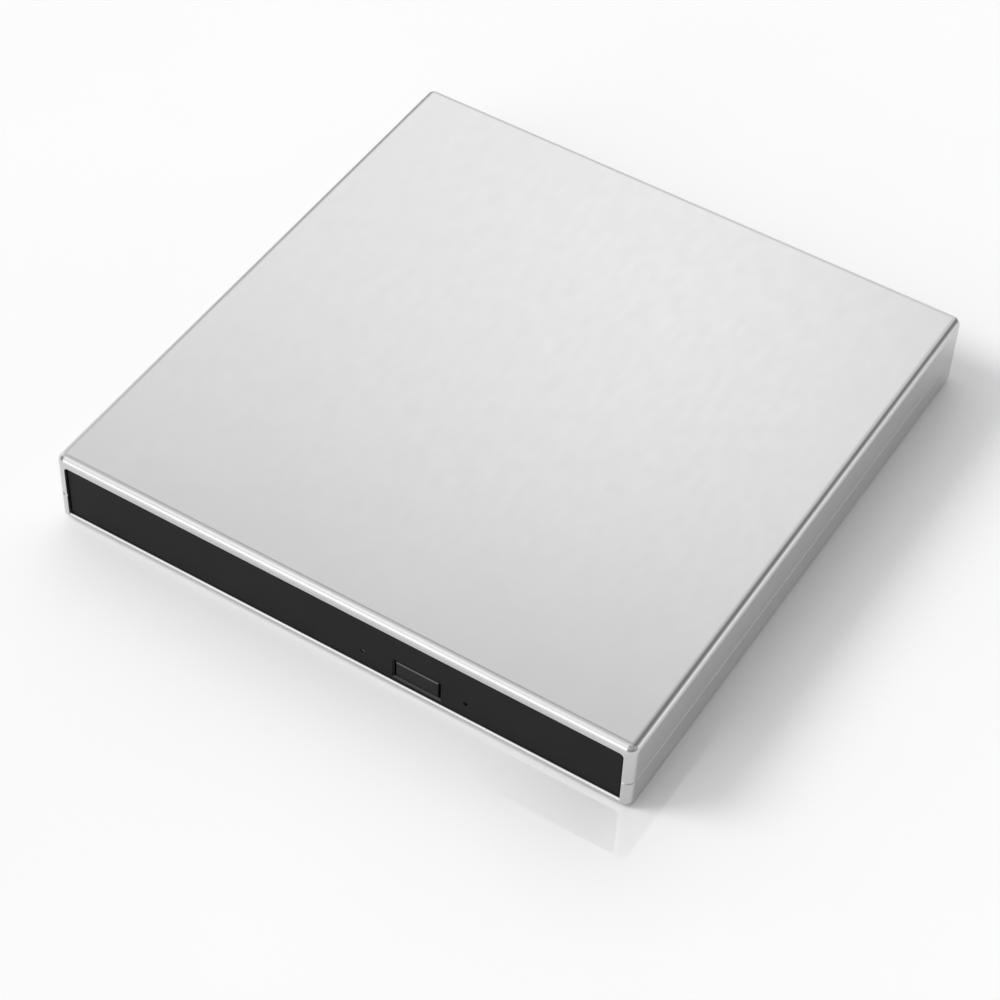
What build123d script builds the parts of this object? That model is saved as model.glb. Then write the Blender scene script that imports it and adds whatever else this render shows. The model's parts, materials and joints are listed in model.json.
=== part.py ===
"""External slim disc drive: a two-part case round a tray-loading drive unit.

Millimetres. X runs to the right, Y from the front panel to the back, Z up.
The origin is at the middle of the footprint, on the surface that the feet stand on.
"""

import os

from build123d import *

# Disc and drive unit
DISC_R = 60.0
DISC_HOLE_R = 7.5
DISC_SIDE_ROOM = 4.0
DISC_FRONT_ROOM = 4.0
DISC_BACK_ROOM = 1.6
DRIVE_H = 12.7

# Shared clearances
RUN_GAP = 0.3
SHAFT_GAP = 0.05
FIT_GAP = 0.1
OVERRUN = 1.0

# Case
SIDE_WALL = 2.2
FLOOR_T = 1.6
ROOF_T = 1.5
REAR_WALL = 1.75
REAR_BAY = 9.45
TOP_EDGE_R = 1.8
CORNER_EASE = 0.1
BOTTOM_EDGE_R = 1.1
SPLIT_H = 7.1
SEAM_CHAMFER = 0.1
SEAM_BEVEL = 0.35
TONGUE_T = 0.8
TONGUE_H = 1.4
TONGUE_FRONT = 4.0
FRONT_LIP_D = 2.2
LIP_EDGE_R = 0.45
WINDOW_CORNER_R = 1.0
DRIVE_REST = 0.45
ROOF_RIB_H = 1.35
RIB_T = 1.2
RIB_COUNT = 5
RIB_SIDE = 16.65
RIB_INSET = 14.0
REST_W = 3.0
REST_INSET = 8.0
BOSS_R = 2.8
BOSS_INSET = 7.65
CASE_SCREW_R = 1.1
CASE_SCREW_HEAD_R = 1.9
CASE_SCREW_HEAD_H = 1.1
CASE_SCREW_BITE = 5.0
SCREW_SINK = 0.2

# Feet
FOOT_R = 4.2
FOOT_T = 1.0
FOOT_PROUD = 0.5
FOOT_EDGE_R = 0.3
FOOT_INSET_X = 12.85
FOOT_INSET_Y = 15.65

# Drive shell
SHEET_T = 0.7
LID_T = 0.5
LID_SKIRT_H = 4.0
BEND_R = 0.5
LID_PRESS_R = 42.0
LID_PRESS_W = 2.5
LID_PRESS_H = 0.2
FLOOR_SLOT_W = 4.0
FLOOR_SLOT_L = 26.0
FLOOR_SLOT_X = 26.0
FLOOR_SLOT_SET = 26.2
DRIVE_SCREW_INSET = 10.8
DRIVE_SCREW_FRONT = 24.2
DRIVE_SCREW_BACK = 49.8
DRIVE_SCREW_R = 0.95
DRIVE_SCREW_HEAD_R = 1.9
DRIVE_SCREW_HEAD_H = 0.7
DRIVE_SCREW_TIP = 0.4
SCREW_PAD_R = 3.2

# Front panel of the tray
BEZEL_OVERHANG = 0.4
BEZEL_H = 13.25
BEZEL_T = 3.2
BEZEL_GAP = 0.25
BEZEL_RECESS = 0.5
BEZEL_SEAT = 0.4
BEZEL_SKIN = 1.6
BEZEL_CORNER_R = 0.6
BEZEL_EDGE_R = 0.4
CLIP_W = 6.0
CLIP_H = 1.4
CLIP_L = 2.4
CLIP_INSET = 16.1
CLIP_RISE = 8.6

# Eject button, status light and release hole
BUTTON_X = 18.95
BUTTON_RISE = 5.1
BUTTON_W = 9.8
BUTTON_H = 4.05
BUTTON_SINK = 0.15
BUTTON_EDGE_R = 0.35
BUTTON_GAP = 0.35
BUTTON_FLANGE = 0.7
BUTTON_FLANGE_T = 0.6
BUTTON_TRAVEL = 0.5
WINDOW_CHAMFER = 0.4
STEM_W = 4.0
STEM_H = 1.8
SWITCH_W = 4.5
SWITCH_H = 3.0
SWITCH_T = 1.6
LIGHT_X = 6.45
LIGHT_RISE = 5.5
LIGHT_R = 0.5
LIGHT_SINK = 0.2
LED_W = 1.8
LED_T = 0.8
RELEASE_X = 30.05
RELEASE_R = 0.55
FRONT_BOARD_SIDE = 5.0
FRONT_BOARD_T = 1.0

# Slides of the tray
RAIL_T = 3.1
RAIL_H = 3.0
RAIL_BACK_GAP = 9.6
RAIL_CHAMFER = 0.3
GUIDE_BACK_T = 0.5
GUIDE_LIP_T = 0.8
GUIDE_DEPTH = 0.9
GUIDE_INSET = 0.6
GUIDE_BACK_GAP = 7.7

# Disc tray
TRAY_LID_GAP = 1.0
TRAY_BACK_GAP = 0.8
DISC_ROOM = 0.5
RECESS_D = 1.8
SMALL_RECESS_R = 41.0
SMALL_RECESS_D = 1.3
DECK_T = 1.2
DECK_RAIL_T = 0.2
SKIRT_T = 1.2
SKIRT_LIP_T = 1.2
APRON_T = 3.0
TRAY_CORNER_R = 4.0
SIDE_NOTCH_L = 40.0
BACK_NOTCH_W = 56.0
PICKUP_SLOT_V = 11.0
PICKUP_SLOT_ROOM = 0.6

# Traverse, laid out along U, outwards from the spindle, and V, square to it
TRAVERSE_ANGLE = 225.0
FRAME_DROP = 2.2
FRAME_T = 1.0
FRAME_BACK_L = 15.0
FRAME_APRON_GAP = 0.74
FRAME_RIM_L = 6.5
FRAME_V = 21.5
FRAME_CORNER = 10.5
WELL_U0 = 13.0
WELL_V = 18.0
WELL_END = 2.0
WELL_CORNER = 10.0
EAR_U = 7.5
EAR_V = 5.0
DAMPER_HOLE_R = 2.5
DAMPER_R = 3.6
DAMPER_LIP_T = 0.8
DAMPER_BACK_U = -10.0
DAMPER_BACK_V = 15.5
TRAVERSE_SCREW_R = 0.95
TRAVERSE_SCREW_HEAD_R = 2.6
TRAVERSE_SCREW_HEAD_H = 0.7
TRAVERSE_SCREW_BITE = 1.2
ROD_R = 1.0
ROD_V = 15.5
ROD_GRIP = 2.7
ROD_BLOCK_W = 3.6
ROD_BLOCK_WALL = 0.5

# Spindle and turntable
STATOR_BASE_R = 11.0
STATOR_BASE_T = 0.6
STATOR_R = 9.6
STATOR_H = 2.4
SLEEVE_R = 2.8
SHAFT_R = 1.5
SHAFT_FOOT = 0.2
PLATTER_R = 13.5
PLATTER_T = 1.2
PLATTER_PROUD = 0.25
CUP_R = 12.0
CUP_T = 1.4
CUP_H = 2.2
HUB_SLACK = 0.15
HUB_H = 1.9
HUB_CHAMFER = 0.5
JAW_COUNT = 3
JAW_W = 3.0
JAW_L = 3.2
JAW_H = 1.1
JAW_FLOOR = 0.4
PAD_R0 = 9.2
PAD_R1 = 13.0
PAD_T = 0.25

# Pickup
PICKUP_U = 24.0
ROD_OVER_L = 5.0
SLED_IN = 10.0
SLED_OUT = 7.0
SLED_V = 12.8
SLED_CORNER = 4.8
SLED_H = 3.9
BUSH_R = 1.9
BUSH_L = 9.7
FORK_L = 5.0
FORK_REACH = 1.8
LENS_FRAME_L = 7.0
LENS_FRAME_W = 8.0
LENS_FRAME_H = 1.35
LENS_LIFT = 0.5
LENS_R = 2.2
LENS_H = 0.5
LENS_EDGE_R = 0.4
YOKE_T = 1.4
YOKE_W = 6.0
YOKE_H = 1.6
YOKE_GAP = 0.5
RACK_L = 4.0
RACK_ARM_T = 0.65
RACK_ROOM = 0.3
RACK_NUT_W = 2.8

# Lead screw and its motor
LEAD_R = 1.1
MOTOR_L = 11.0
MOTOR_W = 5.6
MOTOR_H = 4.0
MOTOR_EDGE_R = 1.2
MOTOR_FLANGE_U = 3.0
MOTOR_FLANGE_T = 1.0
LEAD_SHORT_L = 10.0
LEAD_BLOCK_T = 1.5
LEAD_BLOCK_H = 2.9
LEAD_BLOCK_WALL = 0.9
LEAD_GRIP = 1.4

# Cover plate under the traverse
UNDERPLATE_T = 0.4
UNDERPLATE_X1 = 24.0
UNDERPLATE_BACK = 23.8
UNDERPLATE_CORNER = 16.0
PLATE_POST_R = 2.2
PLATE_POST_INSET = 4.5
PLATE_SCREW_R = 0.95
PLATE_SCREW_HEAD_R = 1.8
PLATE_SCREW_HEAD_H = 0.6
PLATE_SCREW_BITE = 2.5

# Tray latch
LATCH_SIDE = 7.4
LATCH_SETBACK = 11.6
LATCH_POST_R = 1.2
LATCH_POST_H = 4.3
LATCH_PIVOT_R = 1.5
LATCH_PIVOT_SET = 3.5
LATCH_REACH = 14.0
LATCH_EYE_R = 3.0
LATCH_T = 1.2
LATCH_RISE = 2.6
LATCH_ARM_W = 2.0
LATCH_BARB_T = 1.8
LATCH_BARB_GAP = 0.4
SOLENOID_W = 10.0
SOLENOID_D = 8.0
SOLENOID_H = 4.0
SOLENOID_GAP = 1.5
COIL_R = 1.7
SOLENOID_CHEEK = 1.2

# Boards and connectors
BOARD_PLUG_ROOM = 3.0
BOARD_SIDE_GAP = 1.4
BOARD_D = 26.7
BOARD_BACK_GAP = 0.4
BOARD_T = 1.0
CHIP_H = 1.1
CHIP_SHARES = ((0.62, 0.42, 0.20, 0.50), (0.86, 0.50, 0.13, 0.34), (0.42, 0.36, 0.10, 0.30))
PLUG_X = -22.0
PLUG_W = 26.0
PLUG_H = 2.8
PLUG_D = 2.2
PLUG_TONGUE_W = 22.0
PLUG_TONGUE_T = 1.2
PLUG_TONGUE_L = 3.4
SOCKET_W = 28.0
SOCKET_D = 4.6
SOCKET_RIM = 0.4
BRIDGE_JACK_ROOM = 4.9
BRIDGE_RISE = 2.1
BRIDGE_T = 1.2
BRIDGE_GAP = 0.4
BRIDGE_RIB_T = 1.4
BRIDGE_RIB_INSET = 5.0
BRIDGE_CHIP_H = 1.0
BRIDGE_CHIP_SHARES = ((0.52, 0.62, 0.10, 0.60), (0.40, 0.62, 0.06, 0.44))
USB_X = 2.0
USB_W = 7.7
USB_H = 3.9
USB_D = 9.0
USB_WALL = 0.35
USB_CORNER = 1.1
USB_SINK = 0.3
USB_TONGUE_W = 4.4
USB_TONGUE_T = 0.9
USB_TONGUE_L = 6.5
JACK_X = 16.0
JACK_W = 6.2
JACK_H = 5.6
JACK_D = 8.4
JACK_BORE_R = 1.8
JACK_BORE_D = 6.5
JACK_PIN_R = 0.65
JACK_PIN_L = 5.5
PORT_GAP = 0.3

# Flat cable between the drive board and the tray
FLEX_W = 12.0
FLEX_T = 0.2
FLEX_SIDE_GAP = 4.0
FLEX_RUN_L = 42.0
FLEX_BACK_GAP = 10.3

# Worked-out places: case
DRIVE_W = 2 * (DISC_R + DISC_SIDE_ROOM)
DRIVE_D = DISC_FRONT_ROOM + 2 * DISC_R + DISC_BACK_ROOM - BEZEL_T - BEZEL_SEAT
BEZEL_W = DRIVE_W + 2 * BEZEL_OVERHANG
CASE_W = BEZEL_W + 2 * (BEZEL_GAP + SIDE_WALL)
CASE_D = BEZEL_RECESS + BEZEL_T + BEZEL_SEAT + DRIVE_D + REAR_BAY + REAR_WALL
CASE_H = FLOOR_T + DRIVE_REST + DRIVE_H + ROOF_RIB_H + ROOF_T
CORNER_R = TOP_EDGE_R + CORNER_EASE
CASE_Z0 = FOOT_PROUD
CASE_Z1 = CASE_Z0 + CASE_H
FRONT_Y = -CASE_D / 2
BACK_Y = CASE_D / 2
BACK_IN_Y = BACK_Y - REAR_WALL
CAVITY_X = CASE_W / 2 - SIDE_WALL
FLOOR_Z = CASE_Z0 + FLOOR_T
CEILING_Z = CASE_Z1 - ROOF_T
SPLIT_Z = CASE_Z0 + SPLIT_H
RIB_PITCH = 2 * (CAVITY_X - RIB_SIDE) / (RIB_COUNT - 1)
BOSS_X = CAVITY_X - BOSS_INSET
FOOT_X = CASE_W / 2 - FOOT_INSET_X
FOOT_Y = CASE_D / 2 - FOOT_INSET_Y

# Worked-out places: drive unit
DRIVE_Z0 = FLOOR_Z + DRIVE_REST
DRIVE_Z1 = DRIVE_Z0 + DRIVE_H
BEZEL_Y0 = FRONT_Y + BEZEL_RECESS
BEZEL_Y1 = BEZEL_Y0 + BEZEL_T
BEZEL_Z0 = DRIVE_Z0 + (DRIVE_H - BEZEL_H) / 2
BEZEL_Z1 = BEZEL_Z0 + BEZEL_H
WINDOW_Z1 = BEZEL_Z1 + BEZEL_GAP
DRIVE_Y0 = BEZEL_Y1 + BEZEL_SEAT
DRIVE_Y1 = DRIVE_Y0 + DRIVE_D
PAN_X = DRIVE_W / 2 - LID_T
PAN_IN_X = PAN_X - SHEET_T
PAN_FLOOR_Z = DRIVE_Z0 + SHEET_T
PAN_BACK_Y = DRIVE_Y1 - SHEET_T
LID_Z = DRIVE_Z1 - LID_T
SPINDLE_Y = BEZEL_Y0 + DISC_FRONT_ROOM + DISC_R
BOSS_Y = (DRIVE_Y1 + BACK_IN_Y) / 2
FLOOR_SLOT_Y = SPINDLE_Y - FLOOR_SLOT_SET
DRIVE_SCREW_X = PAN_IN_X - DRIVE_SCREW_INSET
DRIVE_SCREW_FRONT_Y = DRIVE_Y0 + DRIVE_SCREW_FRONT
DRIVE_SCREW_BACK_Y = DRIVE_Y1 - DRIVE_SCREW_BACK
REST_X = DRIVE_SCREW_X - REST_INSET

# Worked-out places: slides and tray
CHANNEL_X = PAN_IN_X - GUIDE_BACK_T
GUIDE_X = CHANNEL_X - GUIDE_DEPTH
RAIL_X1 = CHANNEL_X - RUN_GAP
RAIL_X0 = RAIL_X1 - RAIL_T
TRAY_X = GUIDE_X - RUN_GAP
GROOVE_X = RAIL_X0 - RUN_GAP
SKIRT_X = GROOVE_X - SKIRT_T
TRAY_Z1 = LID_Z - TRAY_LID_GAP
RECESS_Z = TRAY_Z1 - RECESS_D
SMALL_RECESS_Z = RECESS_Z - SMALL_RECESS_D
DECK_Z = SMALL_RECESS_Z - DECK_T
GROOVE_H = RAIL_H + 2 * RUN_GAP
RAIL_Z = DECK_Z - DECK_RAIL_T - GROOVE_H / 2
SKIRT_Z = RAIL_Z - GROOVE_H / 2 - SKIRT_LIP_T
APRON_Y = BEZEL_Y1 + APRON_T
TRAY_Y1 = PAN_BACK_Y - TRAY_BACK_GAP
RAIL_Y0 = APRON_Y + RUN_GAP
RAIL_L = TRAY_Y1 - RAIL_Y0 - RAIL_BACK_GAP
GUIDE_Y0 = DRIVE_Y0 + GUIDE_INSET
GUIDE_Y1 = PAN_BACK_Y - GUIDE_BACK_GAP
CLIP_X = TRAY_X - CLIP_INSET
RECESS_R = DISC_R + DISC_ROOM

# Worked-out places: traverse and spindle
DIAGONAL = 2 ** 0.5
FRAME_U0 = -FRAME_BACK_L
FRAME_U1 = (SPINDLE_Y - APRON_Y) * DIAGONAL - EAR_V - FRAME_APRON_GAP - EAR_U
ROD_END_U = FRAME_U1 - FRAME_RIM_L
PICKUP_TRAVEL = ROD_END_U - ROD_OVER_L - PICKUP_U
LEAD_END_U = ROD_END_U - LEAD_SHORT_L
UNDERPLATE_Y1 = SPINDLE_Y + UNDERPLATE_BACK
FRAME_Z1 = DECK_Z - FRAME_DROP
FRAME_Z0 = FRAME_Z1 - FRAME_T
ROD_Z = (FRAME_Z0 + FRAME_Z1) / 2
DAMPER_OUT_U = FRAME_U1 + EAR_U - DAMPER_R - FIT_GAP
DAMPER_PLACES = ((DAMPER_BACK_U, DAMPER_BACK_V), (DAMPER_BACK_U, -DAMPER_BACK_V), (DAMPER_OUT_U, 0))
PLATTER_Z1 = RECESS_Z + PLATTER_PROUD
PLATTER_Z0 = PLATTER_Z1 - PLATTER_T
PAD_Z = PLATTER_Z1 + PAD_T
HUB_R = DISC_HOLE_R - HUB_SLACK
HUB_Z1 = PAD_Z + HUB_H
SLED_Z0 = ROD_Z - BUSH_R + FIT_GAP
SLED_Z1 = SLED_Z0 + SLED_H
LENS_FRAME_Z0 = SLED_Z1 + LENS_LIFT
LENS_FRAME_Z1 = LENS_FRAME_Z0 + LENS_FRAME_H
LEAD_V = -(FRAME_V + RUN_GAP + MOTOR_W / 2)

# Worked-out places: front panel fittings
BUTTON_Z = CASE_Z0 + BUTTON_RISE
LIGHT_Z = CASE_Z0 + LIGHT_RISE
FRONT_BOARD_Z0 = SKIRT_Z + FIT_GAP
FRONT_BOARD_Z1 = DECK_Z
SWITCH_Y0 = APRON_Y - SWITCH_T
SWITCH_Z0 = FRONT_BOARD_Z0 + FIT_GAP
STEM_Z0 = SWITCH_Z0 + FIT_GAP
CLIP_Z0 = BEZEL_Z0 + CLIP_RISE
FRONT_BOARD_X0 = LIGHT_X - FRONT_BOARD_SIDE
FRONT_BOARD_X1 = RELEASE_X + FRONT_BOARD_SIDE

# Worked-out places: latch, boards and ports
LATCH_X = SKIRT_X - LATCH_SIDE
LATCH_Y = APRON_Y + LATCH_SETBACK
LATCH_PIVOT_X = LATCH_X - LATCH_PIVOT_SET
LATCH_PIVOT_Y = LATCH_Y + LATCH_REACH
LATCH_Z0 = PAN_FLOOR_Z + LATCH_RISE
BOARD_Y1 = PAN_BACK_Y - BOARD_BACK_GAP
BOARD_Y0 = BOARD_Y1 - BOARD_D
BOARD_X0 = PLUG_X - PLUG_W / 2 - BOARD_PLUG_ROOM
BOARD_X1 = SKIRT_X - BOARD_SIDE_GAP
BOARD_Z1 = PAN_FLOOR_Z + BOARD_T
BRIDGE_X0 = PLUG_X - PLUG_W / 2 - BOARD_PLUG_ROOM
BRIDGE_X1 = JACK_X + JACK_W / 2 + BRIDGE_JACK_ROOM
BRIDGE_Y0 = DRIVE_Y1 + BRIDGE_GAP
BRIDGE_Y1 = BACK_IN_Y - BRIDGE_GAP
BRIDGE_Z0 = FLOOR_Z + BRIDGE_RISE
BRIDGE_Z1 = BRIDGE_Z0 + BRIDGE_T
PLUG_Z = BRIDGE_Z1 + PLUG_H / 2
PORT_Y = BACK_Y - USB_SINK
FLEX_X0 = UNDERPLATE_X1 + FLEX_SIDE_GAP
FLEX_FOLD_Y = BOARD_Y0 - FLEX_RUN_L
FLEX_TRAY_Y = TRAY_Y1 - FLEX_BACK_GAP

CORNER = (Align.MIN, Align.MIN, Align.MIN)
BASE = (Align.CENTER, Align.CENTER, Align.MIN)
TRAVERSE = Pos(0, SPINDLE_Y, 0) * Rot(0, 0, TRAVERSE_ANGLE)


def slab(x, y, z):
    """Box between a low and a high place on each axis."""
    size = [high - low for low, high in (x, y, z)]
    return Pos(x[0], y[0], z[0]) * Box(*size, align=CORNER)


def post(radius, z_low, z_high, x=0, y=0):
    """Upright cylinder."""
    return Pos(x, y, z_low) * Cylinder(radius, z_high - z_low, align=BASE)


def bar_y(radius, y_low, y_high, x, z):
    """Cylinder that runs from front to back."""
    return Pos(x, y_low, z) * Rot(-90, 0, 0) * Cylinder(radius, y_high - y_low, align=BASE)


def bar_x(radius, x_low, x_high, y, z):
    """Cylinder that runs from left to right, or along U in the traverse."""
    return Pos(x_low, y, z) * Rot(0, 90, 0) * Cylinder(radius, x_high - x_low, align=BASE)


def both_sides(shape):
    """A shape and its mirror image across the middle plane."""
    return shape + mirror(shape, about=Plane.YZ)


def group(solids):
    """Separate like solids that share one node."""
    return Compound(children=list(solids))


def screw(place, seat_z, tip_z, shank_r, head_r, head_h):
    """Pan-head screw driven from below, with a cross recess in its head."""
    x, y = place
    shape = post(head_r, seat_z - head_h, seat_z, x, y)
    shape = fillet(shape.edges().group_by(Axis.Z)[0], head_h / 3)
    half_l, half_w, depth = head_r / 2, head_r / 8, head_h / 2
    sunk = (seat_z - head_h - OVERRUN, seat_z - head_h + depth)
    shape -= slab((x - half_l, x + half_l), (y - half_w, y + half_w), sunk)
    shape -= slab((x - half_w, x + half_w), (y - half_l, y + half_l), sunk)
    return shape + post(shank_r, seat_z, tip_z, x, y)


def lip_round():
    """What is taken off the front edge of the lip under the tray panel to round it."""
    y, z = FRONT_Y + LIP_EDGE_R, FLOOR_Z - LIP_EDGE_R
    block = slab((-CAVITY_X, CAVITY_X), (FRONT_Y - OVERRUN, y), (z, FLOOR_Z + OVERRUN))
    return block - bar_x(LIP_EDGE_R, -CAVITY_X, CAVITY_X, y, z)


def case_outline(z):
    return Pos(0, 0, z) * RectangleRounded(CASE_W, CASE_D, CORNER_R)


def seam_bevel():
    """What is taken off the lower half's edge to bevel it round both front corners."""
    low = case_outline(SPLIT_Z - SEAM_BEVEL)
    ring = extrude(low, SEAM_BEVEL) - extrude(low, SEAM_BEVEL, taper=45)
    return ring & slab((-CASE_W, CASE_W), (FRONT_Y, FRONT_Y + CORNER_R), (CASE_Z0, SPLIT_Z))


def tongue(growth):
    """Ridge inside the seam on three sides of the case, or with growth the rebate that takes it."""
    reach = CAVITY_X + TONGUE_T + growth
    y = (FRONT_Y + TONGUE_FRONT - growth, BACK_IN_Y + TONGUE_T + growth)
    z = (SPLIT_Z - TONGUE_H - growth, SPLIT_Z + TONGUE_H)
    return slab((-reach, reach), y, z)


def port_cuts():
    """Openings in the rear wall for the two sockets, shared by both halves of the case."""
    y = (BACK_IN_Y - TONGUE_T - OVERRUN, BACK_Y + OVERRUN)
    usb_half = USB_W / 2 + PORT_GAP
    jack_half = JACK_W / 2 + PORT_GAP
    usb_z = (BRIDGE_Z1 - PORT_GAP, BRIDGE_Z1 + USB_H + PORT_GAP)
    jack_z = (BRIDGE_Z1 - PORT_GAP, BRIDGE_Z1 + JACK_H + PORT_GAP)
    return [
        slab((USB_X - usb_half, USB_X + usb_half), y, usb_z),
        slab((JACK_X - jack_half, JACK_X + jack_half), y, jack_z),
    ]


def top_cover():
    shell = extrude(case_outline(SPLIT_Z), CASE_Z1 - SPLIT_Z)
    shell = fillet(shell.faces().sort_by(Axis.Z)[-1].edges(), TOP_EDGE_R)
    shell = chamfer(shell.faces().sort_by(Axis.Z)[0].edges(), SEAM_CHAMFER)
    across = (-CAVITY_X, CAVITY_X)
    low = SPLIT_Z - TONGUE_H - OVERRUN
    room = slab(across, (FRONT_Y + FRONT_LIP_D, BACK_IN_Y), (low, CEILING_Z))
    window = slab(across, (FRONT_Y - OVERRUN, FRONT_Y + FRONT_LIP_D + OVERRUN), (low, WINDOW_Z1))
    window = fillet(window.edges().filter_by(Axis.Y).group_by(Axis.Z)[-1], WINDOW_CORNER_R)
    shell = shell + tongue(0) - room - window
    rib_y = (FRONT_Y + FRONT_LIP_D + RIB_INSET, DRIVE_Y1 - RIB_INSET)
    first = -RIB_PITCH * (RIB_COUNT - 1) / 2
    for i in range(RIB_COUNT):
        x = first + i * RIB_PITCH
        shell += slab((x - RIB_T / 2, x + RIB_T / 2), rib_y, (CEILING_Z - ROOF_RIB_H, CEILING_Z))
    for x in (-BOSS_X, BOSS_X):
        shell += post(BOSS_R, SPLIT_Z, CEILING_Z, x, BOSS_Y)
        shell -= post(CASE_SCREW_R, SPLIT_Z - OVERRUN, SPLIT_Z + CASE_SCREW_BITE + OVERRUN, x, BOSS_Y)
    for cut in port_cuts():
        shell -= cut
    return shell


def drive_screw_places():
    ys = (DRIVE_SCREW_FRONT_Y, DRIVE_SCREW_BACK_Y)
    return [(x, y) for x in (-DRIVE_SCREW_X, DRIVE_SCREW_X) for y in ys]


def foot_places():
    return [(x, y) for x in (-FOOT_X, FOOT_X) for y in (-FOOT_Y, FOOT_Y)]


def case_screw_seat():
    return CASE_Z0 + SCREW_SINK + CASE_SCREW_HEAD_H


def drive_screw_seat():
    return CASE_Z0 + SCREW_SINK + DRIVE_SCREW_HEAD_H


def bottom_cover():
    shell = extrude(case_outline(CASE_Z0), SPLIT_Z - CASE_Z0)
    shell = fillet(shell.faces().sort_by(Axis.Z)[0].edges(), BOTTOM_EDGE_R)
    shell = chamfer(shell.faces().sort_by(Axis.Z)[-1].edges(), SEAM_CHAMFER)
    shell -= slab((-CAVITY_X, CAVITY_X), (FRONT_Y - OVERRUN, BACK_IN_Y), (FLOOR_Z, SPLIT_Z + OVERRUN))
    shell -= tongue(FIT_GAP) - slab((-CASE_W, CASE_W), (FRONT_Y, BACK_Y), (CASE_Z0, FLOOR_Z))
    shell = shell - seam_bevel() - lip_round()
    rest_y = (DRIVE_Y0 + RIB_INSET, DRIVE_Y1 - RIB_INSET)
    for x in (-REST_X, 0, REST_X):
        shell += slab((x - REST_W / 2, x + REST_W / 2), rest_y, (FLOOR_Z, DRIVE_Z0))
    for x, y in drive_screw_places():
        shell += post(SCREW_PAD_R, FLOOR_Z, DRIVE_Z0, x, y)
        shell -= post(DRIVE_SCREW_R + FIT_GAP, CASE_Z0, DRIVE_Z0 + OVERRUN, x, y)
        shell -= post(DRIVE_SCREW_HEAD_R + FIT_GAP, CASE_Z0 - OVERRUN, drive_screw_seat(), x, y)
    for x in (-BOSS_X, BOSS_X):
        shell += post(BOSS_R, FLOOR_Z, SPLIT_Z, x, BOSS_Y)
        shell -= post(CASE_SCREW_R + FIT_GAP, CASE_Z0, SPLIT_Z + OVERRUN, x, BOSS_Y)
        shell -= post(CASE_SCREW_HEAD_R + FIT_GAP, CASE_Z0 - OVERRUN, case_screw_seat(), x, BOSS_Y)
    for x, y in foot_places():
        shell -= post(FOOT_R + FIT_GAP, CASE_Z0 - OVERRUN, FOOT_T, x, y)
    for x in (BRIDGE_X0 + BRIDGE_RIB_INSET, BRIDGE_X1 - BRIDGE_RIB_INSET):
        rib_x = (x - BRIDGE_RIB_T / 2, x + BRIDGE_RIB_T / 2)
        shell += slab(rib_x, (BRIDGE_Y0, BACK_IN_Y), (FLOOR_Z, BRIDGE_Z0))
    for cut in port_cuts():
        shell -= cut
    return shell


def rubber_feet():
    feet = []
    for x, y in foot_places():
        foot = post(FOOT_R, 0, FOOT_T, x, y)
        feet.append(fillet(foot.edges().group_by(Axis.Z)[0], FOOT_EDGE_R))
    return group(feet)


def case_screws():
    tip = SPLIT_Z + CASE_SCREW_BITE
    radii = (CASE_SCREW_R - SHAFT_GAP, CASE_SCREW_HEAD_R, CASE_SCREW_HEAD_H)
    return group(screw((x, BOSS_Y), case_screw_seat(), tip, *radii) for x in (-BOSS_X, BOSS_X))


def drive_screws():
    tip = PAN_FLOOR_Z + DRIVE_SCREW_TIP
    radii = (DRIVE_SCREW_R, DRIVE_SCREW_HEAD_R, DRIVE_SCREW_HEAD_H)
    return group(screw(place, drive_screw_seat(), tip, *radii) for place in drive_screw_places())


def drive_pan():
    pan = slab((-PAN_X, PAN_X), (DRIVE_Y0, DRIVE_Y1), (DRIVE_Z0, LID_Z))
    pan = fillet(pan.edges().group_by(Axis.Z)[0].filter_by(Axis.Y), BEND_R)
    pan -= slab((-PAN_IN_X, PAN_IN_X), (DRIVE_Y0 - OVERRUN, PAN_BACK_Y), (PAN_FLOOR_Z, LID_Z + OVERRUN))
    floor = (DRIVE_Z0 - OVERRUN, PAN_FLOOR_Z + OVERRUN)
    for x in (-FLOOR_SLOT_X, FLOOR_SLOT_X):
        slot = Pos(x, FLOOR_SLOT_Y, floor[0]) * SlotOverall(FLOOR_SLOT_L, FLOOR_SLOT_W)
        pan -= extrude(slot, floor[1] - floor[0])
    for x, y in drive_screw_places():
        pan -= post(DRIVE_SCREW_R + SHAFT_GAP, *floor, x, y)
    half = SOCKET_W / 2 + FIT_GAP
    window_z = (BOARD_Z1, PLUG_Z + PLUG_H / 2 + SOCKET_RIM)
    pan -= slab((PLUG_X - half, PLUG_X + half), (PAN_BACK_Y - OVERRUN, DRIVE_Y1 + OVERRUN), window_z)
    return pan


def drive_lid():
    outer = DRIVE_W / 2
    y = (DRIVE_Y0, DRIVE_Y1)
    lid = slab((-outer, outer), y, (LID_Z - LID_SKIRT_H, DRIVE_Z1))
    lid = fillet(lid.edges().group_by(Axis.Z)[-1].filter_by(Axis.Y), LID_T)
    under = (LID_Z - LID_SKIRT_H - OVERRUN, LID_Z)
    lid -= slab((-PAN_X, PAN_X), (DRIVE_Y0 - OVERRUN, DRIVE_Y1 + OVERRUN), under)
    press_z = (DRIVE_Z1 - LID_PRESS_H, DRIVE_Z1 + OVERRUN)
    ring = post(LID_PRESS_R, *press_z, 0, SPINDLE_Y) - post(LID_PRESS_R - LID_PRESS_W, *press_z, 0, SPINDLE_Y)
    return lid - ring


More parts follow.
